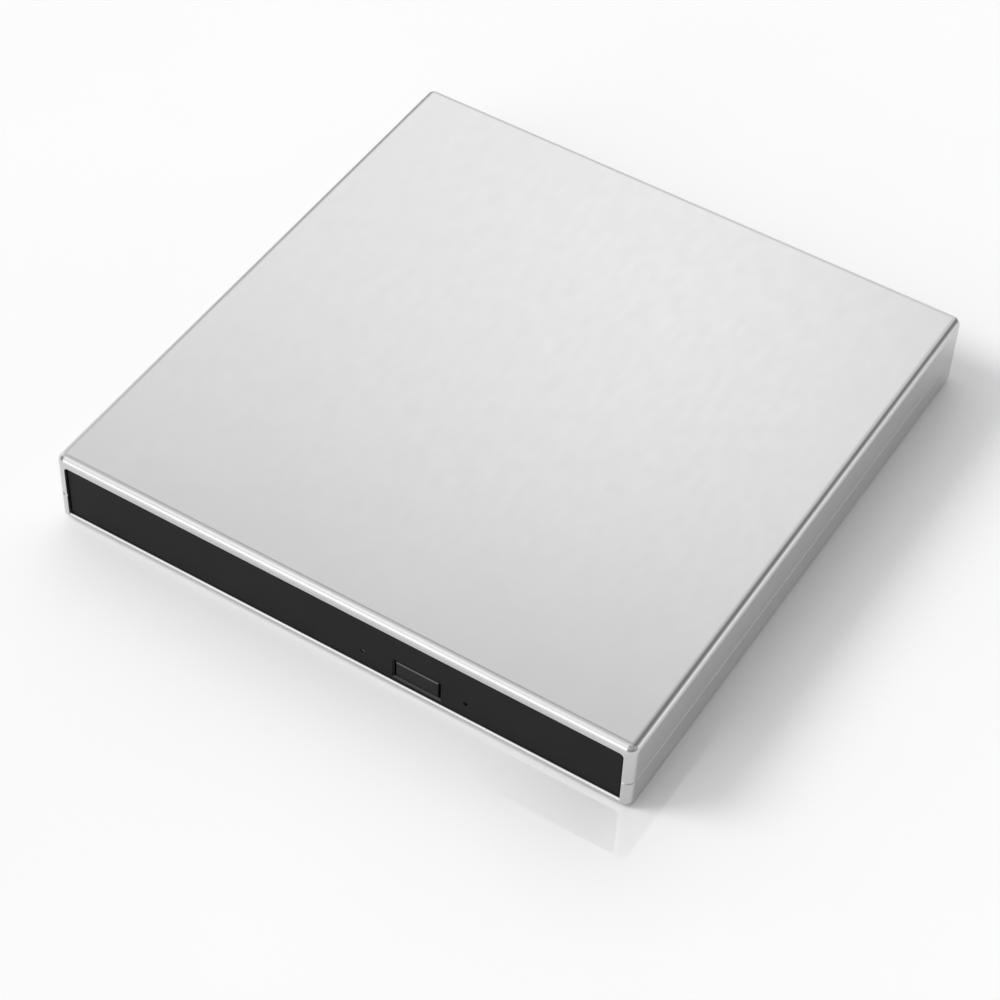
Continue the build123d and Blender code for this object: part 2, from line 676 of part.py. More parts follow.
def rail_guide():
    """Channel on the right wall of the drive that holds the outer half of the slide rail."""
    half = GROOVE_H / 2
    y = (GUIDE_Y0, GUIDE_Y1)
    guide = slab((GUIDE_X, PAN_IN_X), y, (RAIL_Z - half - GUIDE_LIP_T, RAIL_Z + half + GUIDE_LIP_T))
    channel_y = (y[0] - OVERRUN, y[1] + OVERRUN)
    return guide - slab((GUIDE_X - OVERRUN, CHANNEL_X), channel_y, (RAIL_Z - half, RAIL_Z + half))


def slide_rail():
    """Middle rail on the right, half in the guide and half in the groove of the tray."""
    rail = slab((RAIL_X0, RAIL_X1), (RAIL_Y0, RAIL_Y0 + RAIL_L), (RAIL_Z - RAIL_H / 2, RAIL_Z + RAIL_H / 2))
    return chamfer(rail.edges().filter_by(Axis.Y), RAIL_CHAMFER)


def plate_post_places():
    """Posts of the tray that carry the free corners of the cover plate."""
    x = UNDERPLATE_X1 - PLATE_POST_INSET
    return ((x, APRON_Y + PLATE_POST_INSET), (x, UNDERPLATE_Y1 - PLATE_POST_INSET))


def disc_tray():
    across = (-TRAY_X, TRAY_X)
    top = (DECK_Z, TRAY_Z1)
    tray = slab(across, (BEZEL_Y1, TRAY_Y1), top)
    tray = fillet(tray.edges().filter_by(Axis.Z).group_by(Axis.Y)[-1], TRAY_CORNER_R)
    above = TRAY_Z1 + OVERRUN
    tray -= post(RECESS_R, RECESS_Z, above, 0, SPINDLE_Y)
    tray -= post(SMALL_RECESS_R, SMALL_RECESS_Z, above, 0, SPINDLE_Y)
    notch_y = (SPINDLE_Y - SIDE_NOTCH_L / 2, SPINDLE_Y + SIDE_NOTCH_L / 2)
    tray -= slab((-TRAY_X - OVERRUN, TRAY_X + OVERRUN), notch_y, (RECESS_Z, above))
    tray -= slab((-BACK_NOTCH_W / 2, BACK_NOTCH_W / 2), (SPINDLE_Y, TRAY_Y1 + OVERRUN), (RECESS_Z, above))
    tray += slab(across, (BEZEL_Y1, APRON_Y), (SKIRT_Z, DECK_Z))
    skirt = slab((SKIRT_X, TRAY_X), (BEZEL_Y1, TRAY_Y1 - TRAY_CORNER_R), (SKIRT_Z, DECK_Z))
    groove_z = (RAIL_Z - GROOVE_H / 2, RAIL_Z + GROOVE_H / 2)
    skirt -= slab((GROOVE_X, TRAY_X + OVERRUN), (APRON_Y, TRAY_Y1), groove_z)
    tray += both_sides(skirt)
    through = (DECK_Z - OVERRUN, above)
    tray -= post(PLATTER_R + 2 * RUN_GAP, *through, 0, SPINDLE_Y)
    slot_u = (0, PICKUP_U + PICKUP_TRAVEL + LENS_FRAME_L / 2 + YOKE_GAP + YOKE_T + PICKUP_SLOT_ROOM)
    tray -= TRAVERSE * slab(slot_u, (-PICKUP_SLOT_V, PICKUP_SLOT_V), through)
    boss_z = FRAME_Z1 + DAMPER_LIP_T
    bite_z = (boss_z - OVERRUN, boss_z + TRAVERSE_SCREW_BITE + FIT_GAP)
    for u, v in DAMPER_PLACES:
        boss = post(TRAVERSE_SCREW_HEAD_R, boss_z, DECK_Z, u, v)
        tray += TRAVERSE * (boss - post(TRAVERSE_SCREW_R + SHAFT_GAP, *bite_z, u, v))
    for x, y in plate_post_places():
        tray += post(PLATE_POST_R, SKIRT_Z, DECK_Z, x, y)
        tray -= post(PLATE_SCREW_R + SHAFT_GAP, SKIRT_Z - OVERRUN, SKIRT_Z + PLATE_SCREW_BITE + FIT_GAP, x, y)
    tray += post(LATCH_PIVOT_R, LATCH_Z0 - RUN_GAP, DECK_Z, LATCH_PIVOT_X, LATCH_PIVOT_Y)
    return tray - apron_cuts()


def apron_cuts():
    """Openings in the front wall of the tray behind the button, light, release hole and clips."""
    y = (BEZEL_Y1 - OVERRUN, APRON_Y)
    switch_x = (BUTTON_X - SWITCH_W / 2 - RUN_GAP, BUTTON_X + SWITCH_W / 2 + RUN_GAP)
    cuts = slab(switch_x, y, (SKIRT_Z - OVERRUN, SWITCH_Z0 + SWITCH_H + RUN_GAP))
    led_half = LED_W / 2 + FIT_GAP
    cuts += slab((LIGHT_X - led_half, LIGHT_X + led_half), y, (SKIRT_Z - OVERRUN, LIGHT_Z + led_half))
    cuts += bar_y(2 * RELEASE_R, y[0], APRON_Y + OVERRUN, RELEASE_X, LIGHT_Z)
    clip_half = CLIP_W / 2 + FIT_GAP
    clip_z = (CLIP_Z0 - FIT_GAP, CLIP_Z0 + CLIP_H + FIT_GAP)
    for x in (-CLIP_X, CLIP_X):
        cuts += slab((x - clip_half, x + clip_half), (y[0], BEZEL_Y1 + CLIP_L + FIT_GAP), clip_z)
    return cuts


def tray_bezel():
    blank = Rot(90, 0, 0) * RectangleRounded(BEZEL_W, BEZEL_H, BEZEL_CORNER_R)
    bezel = Pos(0, BEZEL_Y1, BEZEL_Z0 + BEZEL_H / 2) * extrude(blank, BEZEL_T)
    bezel = fillet(bezel.faces().sort_by(Axis.Y)[0].edges(), BEZEL_EDGE_R)
    half_w = BUTTON_W / 2 + BUTTON_GAP
    half_h = BUTTON_H / 2 + BUTTON_GAP
    window_x = (BUTTON_X - half_w, BUTTON_X + half_w)
    window_z = (BUTTON_Z - half_h, BUTTON_Z + half_h)
    window = slab(window_x, (BEZEL_Y0, BEZEL_Y1), window_z)
    flare = Rot(90, 0, 0) * Rectangle(2 * half_w, 2 * half_h)
    wide = Rot(90, 0, 0) * Rectangle(2 * (half_w + WINDOW_CHAMFER), 2 * (half_h + WINDOW_CHAMFER))
    at = Pos(BUTTON_X, BEZEL_Y0, BUTTON_Z)
    window += loft([at * wide, at * Pos(0, WINDOW_CHAMFER, 0) * flare])
    bezel -= window
    pocket_w = half_w + BUTTON_FLANGE
    pocket_h = half_h + BUTTON_FLANGE
    pocket_x = (BUTTON_X - pocket_w, BUTTON_X + pocket_w)
    pocket_z = (max(BUTTON_Z - pocket_h, BEZEL_Z0 + BEZEL_EDGE_R), BUTTON_Z + pocket_h)
    bezel -= slab(pocket_x, (BEZEL_Y0 + BEZEL_SKIN, BEZEL_Y1 + OVERRUN), pocket_z)
    through = (BEZEL_Y0 - OVERRUN, BEZEL_Y1 + OVERRUN)
    bezel -= bar_y(LIGHT_R + SHAFT_GAP, *through, LIGHT_X, LIGHT_Z)
    bezel -= bar_y(RELEASE_R, *through, RELEASE_X, LIGHT_Z)
    clip_x = (CLIP_X - CLIP_W / 2, CLIP_X + CLIP_W / 2)
    clip = slab(clip_x, (BEZEL_Y1, BEZEL_Y1 + CLIP_L), (CLIP_Z0, CLIP_Z0 + CLIP_H))
    return bezel + both_sides(clip)


def eject_button():
    front = BEZEL_Y0 + BUTTON_SINK
    flange_y = BEZEL_Y0 + BEZEL_SKIN + FIT_GAP
    x = (BUTTON_X - BUTTON_W / 2, BUTTON_X + BUTTON_W / 2)
    z = (BUTTON_Z - BUTTON_H / 2, BUTTON_Z + BUTTON_H / 2)
    button = slab(x, (front, flange_y), z)
    button = fillet(button.faces().sort_by(Axis.Y)[0].edges(), BUTTON_EDGE_R)
    lip = BUTTON_GAP + BUTTON_FLANGE - RUN_GAP
    flange_z = (max(z[0] - lip, BEZEL_Z0 + BEZEL_EDGE_R + RUN_GAP), z[1] + lip)
    button += slab((x[0] - lip, x[1] + lip), (flange_y, flange_y + BUTTON_FLANGE_T), flange_z)
    stem_x = (BUTTON_X - STEM_W / 2, BUTTON_X + STEM_W / 2)
    stem_y = (flange_y, SWITCH_Y0 - BUTTON_TRAVEL - FIT_GAP)
    return button + slab(stem_x, stem_y, (STEM_Z0, STEM_Z0 + STEM_H))


def status_light():
    """Clear light guide from the face of the panel back to the lamp."""
    return bar_y(LIGHT_R, BEZEL_Y0 + LIGHT_SINK, APRON_Y - LED_T, LIGHT_X, LIGHT_Z)


def status_lamp():
    half = LED_W / 2
    z = (max(LIGHT_Z - half, FRONT_BOARD_Z0), LIGHT_Z + half)
    return slab((LIGHT_X - half, LIGHT_X + half), (APRON_Y - LED_T, APRON_Y), z)


def front_board():
    y = (APRON_Y, APRON_Y + FRONT_BOARD_T)
    board = slab((FRONT_BOARD_X0, FRONT_BOARD_X1), y, (FRONT_BOARD_Z0, FRONT_BOARD_Z1))
    return board - bar_y(2 * RELEASE_R, y[0] - OVERRUN, y[1] + OVERRUN, RELEASE_X, LIGHT_Z)


def eject_switch():
    x = (BUTTON_X - SWITCH_W / 2, BUTTON_X + SWITCH_W / 2)
    return slab(x, (SWITCH_Y0, APRON_Y), (SWITCH_Z0, SWITCH_Z0 + SWITCH_H))


def rod_block(u, v):
    """Block of the frame that grips one end of a guide rod."""
    half = ROD_R + ROD_BLOCK_WALL
    y = (v - ROD_BLOCK_W / 2, v + ROD_BLOCK_W / 2)
    return slab((u, u + ROD_GRIP), y, (ROD_Z - half, ROD_Z + half))


def rod_span():
    """Ends of both guide rods, inside the blocks that grip them."""
    return (WELL_U0 - ROD_GRIP + 2 * FIT_GAP, ROD_END_U - 2 * FIT_GAP)


def traverse_frame():
    mid_u = (FRAME_U0 + FRAME_U1) / 2
    outline = Pos(mid_u, 0) * Rectangle(FRAME_U1 - FRAME_U0, 2 * FRAME_V)
    outline = chamfer(outline.vertices().group_by(Axis.X)[-1], FRAME_CORNER)
    well_u1 = FRAME_U1 - WELL_END
    well = Pos((WELL_U0 + well_u1) / 2, 0) * Rectangle(well_u1 - WELL_U0, 2 * WELL_V)
    well = chamfer(well.vertices().group_by(Axis.X)[-1], WELL_CORNER)
    ear = Pos(FRAME_U1 + EAR_U / 2 - WELL_END / 2, 0) * Rectangle(EAR_U + WELL_END, 2 * EAR_V)
    frame = extrude(Pos(0, 0, FRAME_Z0) * (outline - well + ear), FRAME_T)
    for v in (-ROD_V, ROD_V):
        frame += rod_block(WELL_U0 - ROD_GRIP, v) + rod_block(ROD_END_U - ROD_GRIP, v)
        frame -= bar_x(ROD_R + SHAFT_GAP, *rod_span(), v, ROD_Z)
    for u, v in DAMPER_PLACES:
        frame -= post(DAMPER_HOLE_R, FRAME_Z0 - OVERRUN, FRAME_Z1 + OVERRUN, u, v)
    reach = LEAD_V - MOTOR_W / 2
    inner = -FRAME_V + OVERRUN
    flange_u = (MOTOR_FLANGE_U, MOTOR_FLANGE_U + MOTOR_FLANGE_T)
    frame += slab(flange_u, (reach, inner), (ROD_Z - MOTOR_H / 2, ROD_Z + MOTOR_H / 2))
    block_v = (LEAD_V - LEAD_R - LEAD_BLOCK_WALL, inner)
    block_z = (ROD_Z - LEAD_BLOCK_H / 2, ROD_Z + LEAD_BLOCK_H / 2)
    block_u = (LEAD_END_U, LEAD_END_U + LEAD_BLOCK_T)
    frame += slab(block_u, block_v, block_z)
    frame -= bar_x(LEAD_R + RUN_GAP, flange_u[0] - OVERRUN, flange_u[1] + OVERRUN, LEAD_V, ROD_Z)
    frame -= bar_x(LEAD_R + SHAFT_GAP, block_u[0] - OVERRUN, block_u[1] + OVERRUN, LEAD_V, ROD_Z)
    return TRAVERSE * frame


def traverse_dampers():
    """Rubber grommets in the frame, with a lip above and below it."""
    dampers = []
    low, high = FRAME_Z0 - DAMPER_LIP_T, FRAME_Z1 + DAMPER_LIP_T
    for u, v in DAMPER_PLACES:
        damper = post(DAMPER_HOLE_R - SHAFT_GAP, low, high, u, v)
        damper += post(DAMPER_R, low, FRAME_Z0, u, v) + post(DAMPER_R, FRAME_Z1, high, u, v)
        damper -= post(TRAVERSE_SCREW_R + SHAFT_GAP, low - OVERRUN, high + OVERRUN, u, v)
        dampers.append(TRAVERSE * damper)
    return group(dampers)


def traverse_screws():
    seat = FRAME_Z0 - DAMPER_LIP_T
    tip = FRAME_Z1 + DAMPER_LIP_T + TRAVERSE_SCREW_BITE
    radii = (TRAVERSE_SCREW_R, TRAVERSE_SCREW_HEAD_R, TRAVERSE_SCREW_HEAD_H)
    return group(TRAVERSE * screw(place, seat, tip, *radii) for place in DAMPER_PLACES)


def guide_rod(v):
    return TRAVERSE * bar_x(ROD_R, *rod_span(), v, ROD_Z)


def spindle_stator():
    base = post(STATOR_BASE_R, FRAME_Z1, FRAME_Z1 + STATOR_BASE_T)
    core = post(STATOR_R, FRAME_Z1, FRAME_Z1 + STATOR_H)
    sleeve = post(SLEEVE_R, FRAME_Z1, PLATTER_Z0 - RUN_GAP)
    bore = post(SHAFT_R + SHAFT_GAP, FRAME_Z1 + SHAFT_FOOT - FIT_GAP, PLATTER_Z0)
    return Pos(0, SPINDLE_Y, 0) * (base + core + sleeve - bore)


def spindle_shaft():
    return post(SHAFT_R, FRAME_Z1 + SHAFT_FOOT, HUB_Z1 - HUB_CHAMFER, 0, SPINDLE_Y)


def jaw_slots(growth):
    """Three radial jaws of the hub, or with growth the slots that hold them."""
    half = JAW_W / 2 + growth
    z = (PAD_Z + JAW_FLOOR - growth, PAD_Z + JAW_FLOOR + JAW_H + growth)
    jaw = slab((HUB_R - JAW_L - growth, HUB_R + 2 * growth), (-half, half), z)
    turns = [Rot(0, 0, i * 360 / JAW_COUNT) for i in range(JAW_COUNT)]
    return [Pos(0, SPINDLE_Y, 0) * turn * jaw for turn in turns]


def turntable():
    """Rotor cup, disc platter and centring hub, turned as one profile."""
    bore = SHAFT_R + SHAFT_GAP / 2
    profile = Polyline(
        (bore, PLATTER_Z0),
        (CUP_R - CUP_T, PLATTER_Z0),
        (CUP_R - CUP_T, PLATTER_Z0 - CUP_H),
        (CUP_R, PLATTER_Z0 - CUP_H),
        (CUP_R, PLATTER_Z0),
        (PLATTER_R, PLATTER_Z0),
        (PLATTER_R, PLATTER_Z1),
        (HUB_R, PLATTER_Z1),
        (HUB_R, HUB_Z1 - HUB_CHAMFER),
        (HUB_R - HUB_CHAMFER, HUB_Z1),
        (bore, HUB_Z1),
        close=True,
    )
    table = Pos(0, SPINDLE_Y, 0) * revolve(Plane.XZ * make_face(profile), Axis.Z)
    for slot in jaw_slots(FIT_GAP):
        table -= slot
    return table


def hub_jaws():
    """Sprung jaws of the hub, drawn in flush with its side."""
    side = post(HUB_R - FIT_GAP, PLATTER_Z1, HUB_Z1, 0, SPINDLE_Y)
    return group(jaw & side for jaw in jaw_slots(0))


def turntable_pad():
    return post(PAD_R1, PLATTER_Z1, PAD_Z, 0, SPINDLE_Y) - post(PAD_R0, PLATTER_Z1, PAD_Z, 0, SPINDLE_Y)


def pickup_sled():
    u0, u1 = PICKUP_U - SLED_IN, PICKUP_U + SLED_OUT
    outline = Pos((u0 + u1) / 2, 0) * Rectangle(u1 - u0, 2 * SLED_V)
    outline = chamfer(outline.vertices().group_by(Axis.X)[-1], SLED_CORNER)
    sled = extrude(Pos(0, 0, SLED_Z0) * outline, SLED_H)
    sled += slab((u0, u0 + BUSH_L), (0, ROD_V), (ROD_Z - ROD_R, ROD_Z + ROD_R))
    sled += bar_x(BUSH_R, u0, u0 + BUSH_L, ROD_V, ROD_Z)
    sled -= bar_x(ROD_R + SHAFT_GAP, u0 - OVERRUN, u1, ROD_V, ROD_Z)
    fork_u = (u1 - SLED_CORNER - OVERRUN - FORK_L, u1 - SLED_CORNER - OVERRUN)
    fork_v = -ROD_V - FORK_REACH
    sled += slab(fork_u, (fork_v, 0), (SLED_Z0, SLED_Z1 - RUN_GAP))
    slot_half = ROD_R + SHAFT_GAP
    slot_v = (fork_v - OVERRUN, -ROD_V + slot_half)
    sled -= slab((u0, u1), slot_v, (ROD_Z - slot_half, ROD_Z + slot_half))
    yoke_u = LENS_FRAME_L / 2 + YOKE_GAP
    for u in (PICKUP_U - yoke_u - YOKE_T, PICKUP_U + yoke_u):
        sled += slab((u, u + YOKE_T), (-YOKE_W / 2, YOKE_W / 2), (SLED_Z1, SLED_Z1 + YOKE_H))
    return TRAVERSE * sled


def sled_rack():
    """Arm on the sled with the half nut that rides on the lead screw."""
    u0 = PICKUP_U - SLED_IN
    u = (u0, u0 + RACK_L)
    arm_z = ROD_Z + LEAD_R + RACK_ROOM
    far = LEAD_V - RACK_NUT_W / 2
    rack = slab(u, (far, -SLED_V), (arm_z, arm_z + RACK_ARM_T))
    rack += slab(u, (far, far + RACK_NUT_W), (ROD_Z, arm_z))
    return TRAVERSE * (rack - bar_x(LEAD_R + FIT_GAP, u[0] - OVERRUN, u[1] + OVERRUN, LEAD_V, ROD_Z))


def lens_frame():
    half_u, half_v = LENS_FRAME_L / 2, LENS_FRAME_W / 2
    frame = slab((PICKUP_U - half_u, PICKUP_U + half_u), (-half_v, half_v), (LENS_FRAME_Z0, LENS_FRAME_Z1))
    frame = fillet(frame.edges().filter_by(Axis.Z), LENS_EDGE_R)
    return TRAVERSE * frame


def objective_lens():
    lens = post(LENS_R, LENS_FRAME_Z1, LENS_FRAME_Z1 + LENS_H, PICKUP_U)
    return TRAVERSE * fillet(lens.edges().group_by(Axis.Z)[-1], LENS_EDGE_R)


def lead_screw():
    return TRAVERSE * bar_x(LEAD_R, MOTOR_FLANGE_U - LEAD_GRIP, LEAD_END_U + LEAD_BLOCK_T, LEAD_V, ROD_Z)


def sled_motor():
    u = (MOTOR_FLANGE_U - MOTOR_L, MOTOR_FLANGE_U)
    v = (LEAD_V - MOTOR_W / 2, LEAD_V + MOTOR_W / 2)
    motor = slab(u, v, (ROD_Z - MOTOR_H / 2, ROD_Z + MOTOR_H / 2))
    motor = fillet(motor.edges().filter_by(Axis.X), MOTOR_EDGE_R)
    bearing_u = (MOTOR_FLANGE_U - LEAD_GRIP - FIT_GAP, MOTOR_FLANGE_U + OVERRUN)
    return TRAVERSE * (motor - bar_x(LEAD_R + SHAFT_GAP, *bearing_u, LEAD_V, ROD_Z))


def underplate():
    """Thin cover plate under the traverse, carried by the left skirt and two posts."""
    y = (APRON_Y + FRONT_BOARD_T, UNDERPLATE_Y1)
    plate = slab((-TRAY_X, UNDERPLATE_X1), y, (SKIRT_Z - UNDERPLATE_T, SKIRT_Z))
    corner = plate.edges().filter_by(Axis.Z).group_by(Axis.Y)[-1].sort_by(Axis.X)[:1]
    plate = chamfer(corner, UNDERPLATE_CORNER)
    for x, y in plate_post_places():
        plate -= post(PLATE_SCREW_R + FIT_GAP, SKIRT_Z - UNDERPLATE_T - OVERRUN, SKIRT_Z + OVERRUN, x, y)
    return plate


def underplate_screws():
    seat = SKIRT_Z - UNDERPLATE_T
    tip = SKIRT_Z + PLATE_SCREW_BITE
    radii = (PLATE_SCREW_R, PLATE_SCREW_HEAD_R, PLATE_SCREW_HEAD_H)
    return group(screw(place, seat, tip, *radii) for place in plate_post_places())


def latch_post():
    """Fixed post on the floor of the drive that the latch catches."""
    return post(LATCH_POST_R, PAN_FLOOR_Z, PAN_FLOOR_Z + LATCH_POST_H, LATCH_X, LATCH_Y)


def latch_lever():
    """Hook on the tray, drawn clear of the post: it swings towards the post to lock."""
    z = (LATCH_Z0, LATCH_Z0 + LATCH_T)
    barb_y = LATCH_Y + LATCH_POST_R + LATCH_BARB_GAP
    arm_x = (LATCH_PIVOT_X - LATCH_ARM_W / 2, LATCH_PIVOT_X + LATCH_ARM_W / 2)
    lever = post(LATCH_EYE_R, *z, LATCH_PIVOT_X, LATCH_PIVOT_Y)
    lever += slab(arm_x, (barb_y, LATCH_PIVOT_Y), z)
    lever += slab((arm_x[0], LATCH_X - LATCH_POST_R - RUN_GAP), (barb_y, barb_y + LATCH_BARB_T), z)
    bore_z = (z[0] - OVERRUN, z[1] + OVERRUN)
    return lever - post(LATCH_PIVOT_R + SHAFT_GAP, *bore_z, LATCH_PIVOT_X, LATCH_PIVOT_Y)


def latch_solenoid():
    """Coil between two cheeks under the deck, beside the latch."""
    x1 = LATCH_PIVOT_X - LATCH_ARM_W / 2 - SOLENOID_GAP
    x0 = x1 - SOLENOID_W
    y0 = LATCH_Y
    z = (DECK_Z - SOLENOID_H, DECK_Z)
    body = slab((x0, x0 + SOLENOID_CHEEK), (y0, y0 + SOLENOID_D), z)
    body += slab((x1 - SOLENOID_CHEEK, x1), (y0, y0 + SOLENOID_D), z)
    body += slab((x0, x1), (y0, y0 + SOLENOID_D), (DECK_Z - SOLENOID_CHEEK / 2, DECK_Z))
    return body + bar_x(COIL_R, x0, x1, y0 + SOLENOID_D / 2, DECK_Z - SOLENOID_H / 2)


def drive_board():
    board = slab((BOARD_X0, BOARD_X1), (BOARD_Y0, BOARD_Y1), (PAN_FLOOR_Z, BOARD_Z1))
    return chamfer(board.edges().filter_by(Axis.Z).group_by(Axis.Y)[0], BOARD_T)


def chips(shares, x, y, z, height):
    """Packages on a board: middle, width and depth as shares of the board's sides."""
    width, depth = x[1] - x[0], y[1] - y[0]
    made = []
    for mid_x, mid_y, wide, deep in shares:
        at = Pos(x[0] + mid_x * width, y[0] + mid_y * depth, z)
        made.append(at * Box(wide * width, deep * depth, height, align=BASE))
    return group(made)


def drive_chips():
    return chips(CHIP_SHARES, (BOARD_X0, BOARD_X1), (BOARD_Y0, BOARD_Y1), BOARD_Z1, CHIP_H)


def bridge_chips():
    return chips(BRIDGE_CHIP_SHARES, (BRIDGE_X0, BRIDGE_X1), (BRIDGE_Y0, BRIDGE_Y1), BRIDGE_Z1, BRIDGE_CHIP_H)


def drive_socket():
    """Connector on the drive board, open to the back."""
    half = SOCKET_W / 2
    top = PLUG_Z + PLUG_H / 2
    body = slab((PLUG_X - half, PLUG_X + half), (BOARD_Y1 - SOCKET_D, BOARD_Y1), (BOARD_Z1, top))
    slot_x = PLUG_TONGUE_W / 2 + FIT_GAP
    slot_z = PLUG_TONGUE_T / 2 + FIT_GAP
    slot_y = (BRIDGE_Y0 - PLUG_TONGUE_L - FIT_GAP, BOARD_Y1 + OVERRUN)
    return body - slab((PLUG_X - slot_x, PLUG_X + slot_x), slot_y, (PLUG_Z - slot_z, PLUG_Z + slot_z))


def bridge_plug():
    """Plug on the bridge board with the tongue that enters the drive's connector."""
    body_x = (PLUG_X - PLUG_W / 2, PLUG_X + PLUG_W / 2)
    body = slab(body_x, (BRIDGE_Y0, BRIDGE_Y0 + PLUG_D), (BRIDGE_Z1, BRIDGE_Z1 + PLUG_H))
    tongue_x = (PLUG_X - PLUG_TONGUE_W / 2, PLUG_X + PLUG_TONGUE_W / 2)
    tongue_z = (PLUG_Z - PLUG_TONGUE_T / 2, PLUG_Z + PLUG_TONGUE_T / 2)
    return body + slab(tongue_x, (BRIDGE_Y0 - PLUG_TONGUE_L, BRIDGE_Y0), tongue_z)


def bridge_board():
    return slab((BRIDGE_X0, BRIDGE_X1), (BRIDGE_Y0, BRIDGE_Y1), (BRIDGE_Z0, BRIDGE_Z1))


def usb_profile(inset):
    """Mouth of the small USB socket, with its two lower corners cut off."""
    mouth = Rectangle(USB_W - 2 * inset, USB_H - 2 * inset)
    mouth = chamfer(mouth.vertices().group_by(Axis.Y)[0], USB_CORNER)
    return Pos(USB_X, PORT_Y, BRIDGE_Z1 + USB_H / 2) * Rot(90, 0, 0) * mouth


def usb_socket():
    shell = extrude(usb_profile(0), USB_D)
    return shell - Pos(0, USB_WALL, 0) * extrude(usb_profile(USB_WALL), USB_D)


def usb_tongue():
    back = PORT_Y - USB_D + USB_WALL * 2
    half = USB_TONGUE_W / 2
    mid_z = BRIDGE_Z1 + USB_H / 2
    z = (mid_z - USB_TONGUE_T / 2, mid_z + USB_TONGUE_T / 2)
    root_z = (BRIDGE_Z1 + USB_WALL, BRIDGE_Z1 + USB_H - USB_WALL)
    root = slab((USB_X - half, USB_X + half), (back - USB_WALL, back + USB_WALL), root_z)
    return root + slab((USB_X - half, USB_X + half), (back, back + USB_TONGUE_L), z)


def power_jack():
    mid_z = BRIDGE_Z1 + JACK_H / 2
    body_x = (JACK_X - JACK_W / 2, JACK_X + JACK_W / 2)
    body = slab(body_x, (PORT_Y - JACK_D, PORT_Y), (BRIDGE_Z1, BRIDGE_Z1 + JACK_H))
    return body - bar_y(JACK_BORE_R, PORT_Y - JACK_BORE_D, PORT_Y + OVERRUN, JACK_X, mid_z)


def power_pin():
    mid_z = BRIDGE_Z1 + JACK_H / 2
    root = PORT_Y - JACK_BORE_D
    return bar_y(JACK_PIN_R, root, root + JACK_PIN_L, JACK_X, mid_z)


def flex_cable():
    """Flat cable that lies on the drive's floor, folds over and runs back under the deck."""
    low, high = PAN_FLOOR_Z, DECK_Z
    mid_z = (low + high) / 2
    nose = FLEX_FOLD_Y - (high - low) / 2
    outline = [
        Line((BOARD_Y0, low), (FLEX_FOLD_Y, low)),
        ThreePointArc((FLEX_FOLD_Y, low), (nose, mid_z), (FLEX_FOLD_Y, high)),
        Line((FLEX_FOLD_Y, high), (FLEX_TRAY_Y, high)),
        Line((FLEX_TRAY_Y, high), (FLEX_TRAY_Y, high - FLEX_T)),
        Line((FLEX_TRAY_Y, high - FLEX_T), (FLEX_FOLD_Y, high - FLEX_T)),
        ThreePointArc((FLEX_FOLD_Y, high - FLEX_T), (nose + FLEX_T, mid_z), (FLEX_FOLD_Y, low + FLEX_T)),
        Line((FLEX_FOLD_Y, low + FLEX_T), (BOARD_Y0, low + FLEX_T)),
        Line((BOARD_Y0, low + FLEX_T), (BOARD_Y0, low)),
    ]
    return Pos(FLEX_X0, 0, 0) * extrude(Plane.YZ * make_face(outline), FLEX_W)


def mirrored(shape):
    return mirror(shape, about=Plane.YZ)


PIECES = {
    "top_cover": top_cover(),
    "bottom_cover": bottom_cover(),
    "rubber_feet": rubber_feet(),
    "case_screws": case_screws(),
    "drive_screws": drive_screws(),
    "drive_pan": drive_pan(),
    "drive_lid": drive_lid(),
    "rail_guide_right": rail_guide(),
    "rail_guide_left": mirrored(rail_guide()),
    "slide_rail_right": slide_rail(),
    "slide_rail_left": mirrored(slide_rail()),
    "disc_tray": disc_tray(),
    "tray_bezel": tray_bezel(),
    "eject_button": eject_button(),
    "status_light": status_light(),
    "status_lamp": status_lamp(),
    "front_board": front_board(),
    "eject_switch": eject_switch(),
    "traverse_frame": traverse_frame(),
    "traverse_dampers": traverse_dampers(),
    "traverse_screws": traverse_screws(),
    "guide_rod_main": guide_rod(ROD_V),
    "guide_rod_side": guide_rod(-ROD_V),
    "spindle_stator": spindle_stator(),
    "spindle_shaft": spindle_shaft(),
    "turntable": turntable(),
    "hub_jaws": hub_jaws(),
    "turntable_pad": turntable_pad(),
    "pickup_sled": pickup_sled(),
    "sled_rack": sled_rack(),
    "lens_frame": lens_frame(),
    "objective_lens": objective_lens(),
    "lead_screw": lead_screw(),
    "sled_motor": sled_motor(),
    "underplate": underplate(),
    "underplate_screws": underplate_screws(),
    "latch_post": latch_post(),
    "latch_lever": latch_lever(),
    "latch_solenoid": latch_solenoid(),
    "drive_board": drive_board(),
    "drive_chips": drive_chips(),
    "drive_socket": drive_socket(),
    "bridge_board": bridge_board(),
    "bridge_plug": bridge_plug(),
    "bridge_chips": bridge_chips(),
    "usb_socket": usb_socket(),
    "usb_tongue": usb_tongue(),
    "power_jack": power_jack(),
    "power_pin": power_pin(),
    "flex_cable": flex_cable(),
}

os.makedirs("parts", exist_ok=True)
for name, shape in PIECES.items():
    export_step(shape, f"parts/{name}.step")
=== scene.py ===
"""Looks of the external disc drive: camera, light, materials and fine pieces, in metres."""
import json
import math

import bmesh
import bpy
from mathutils import Matrix, Vector


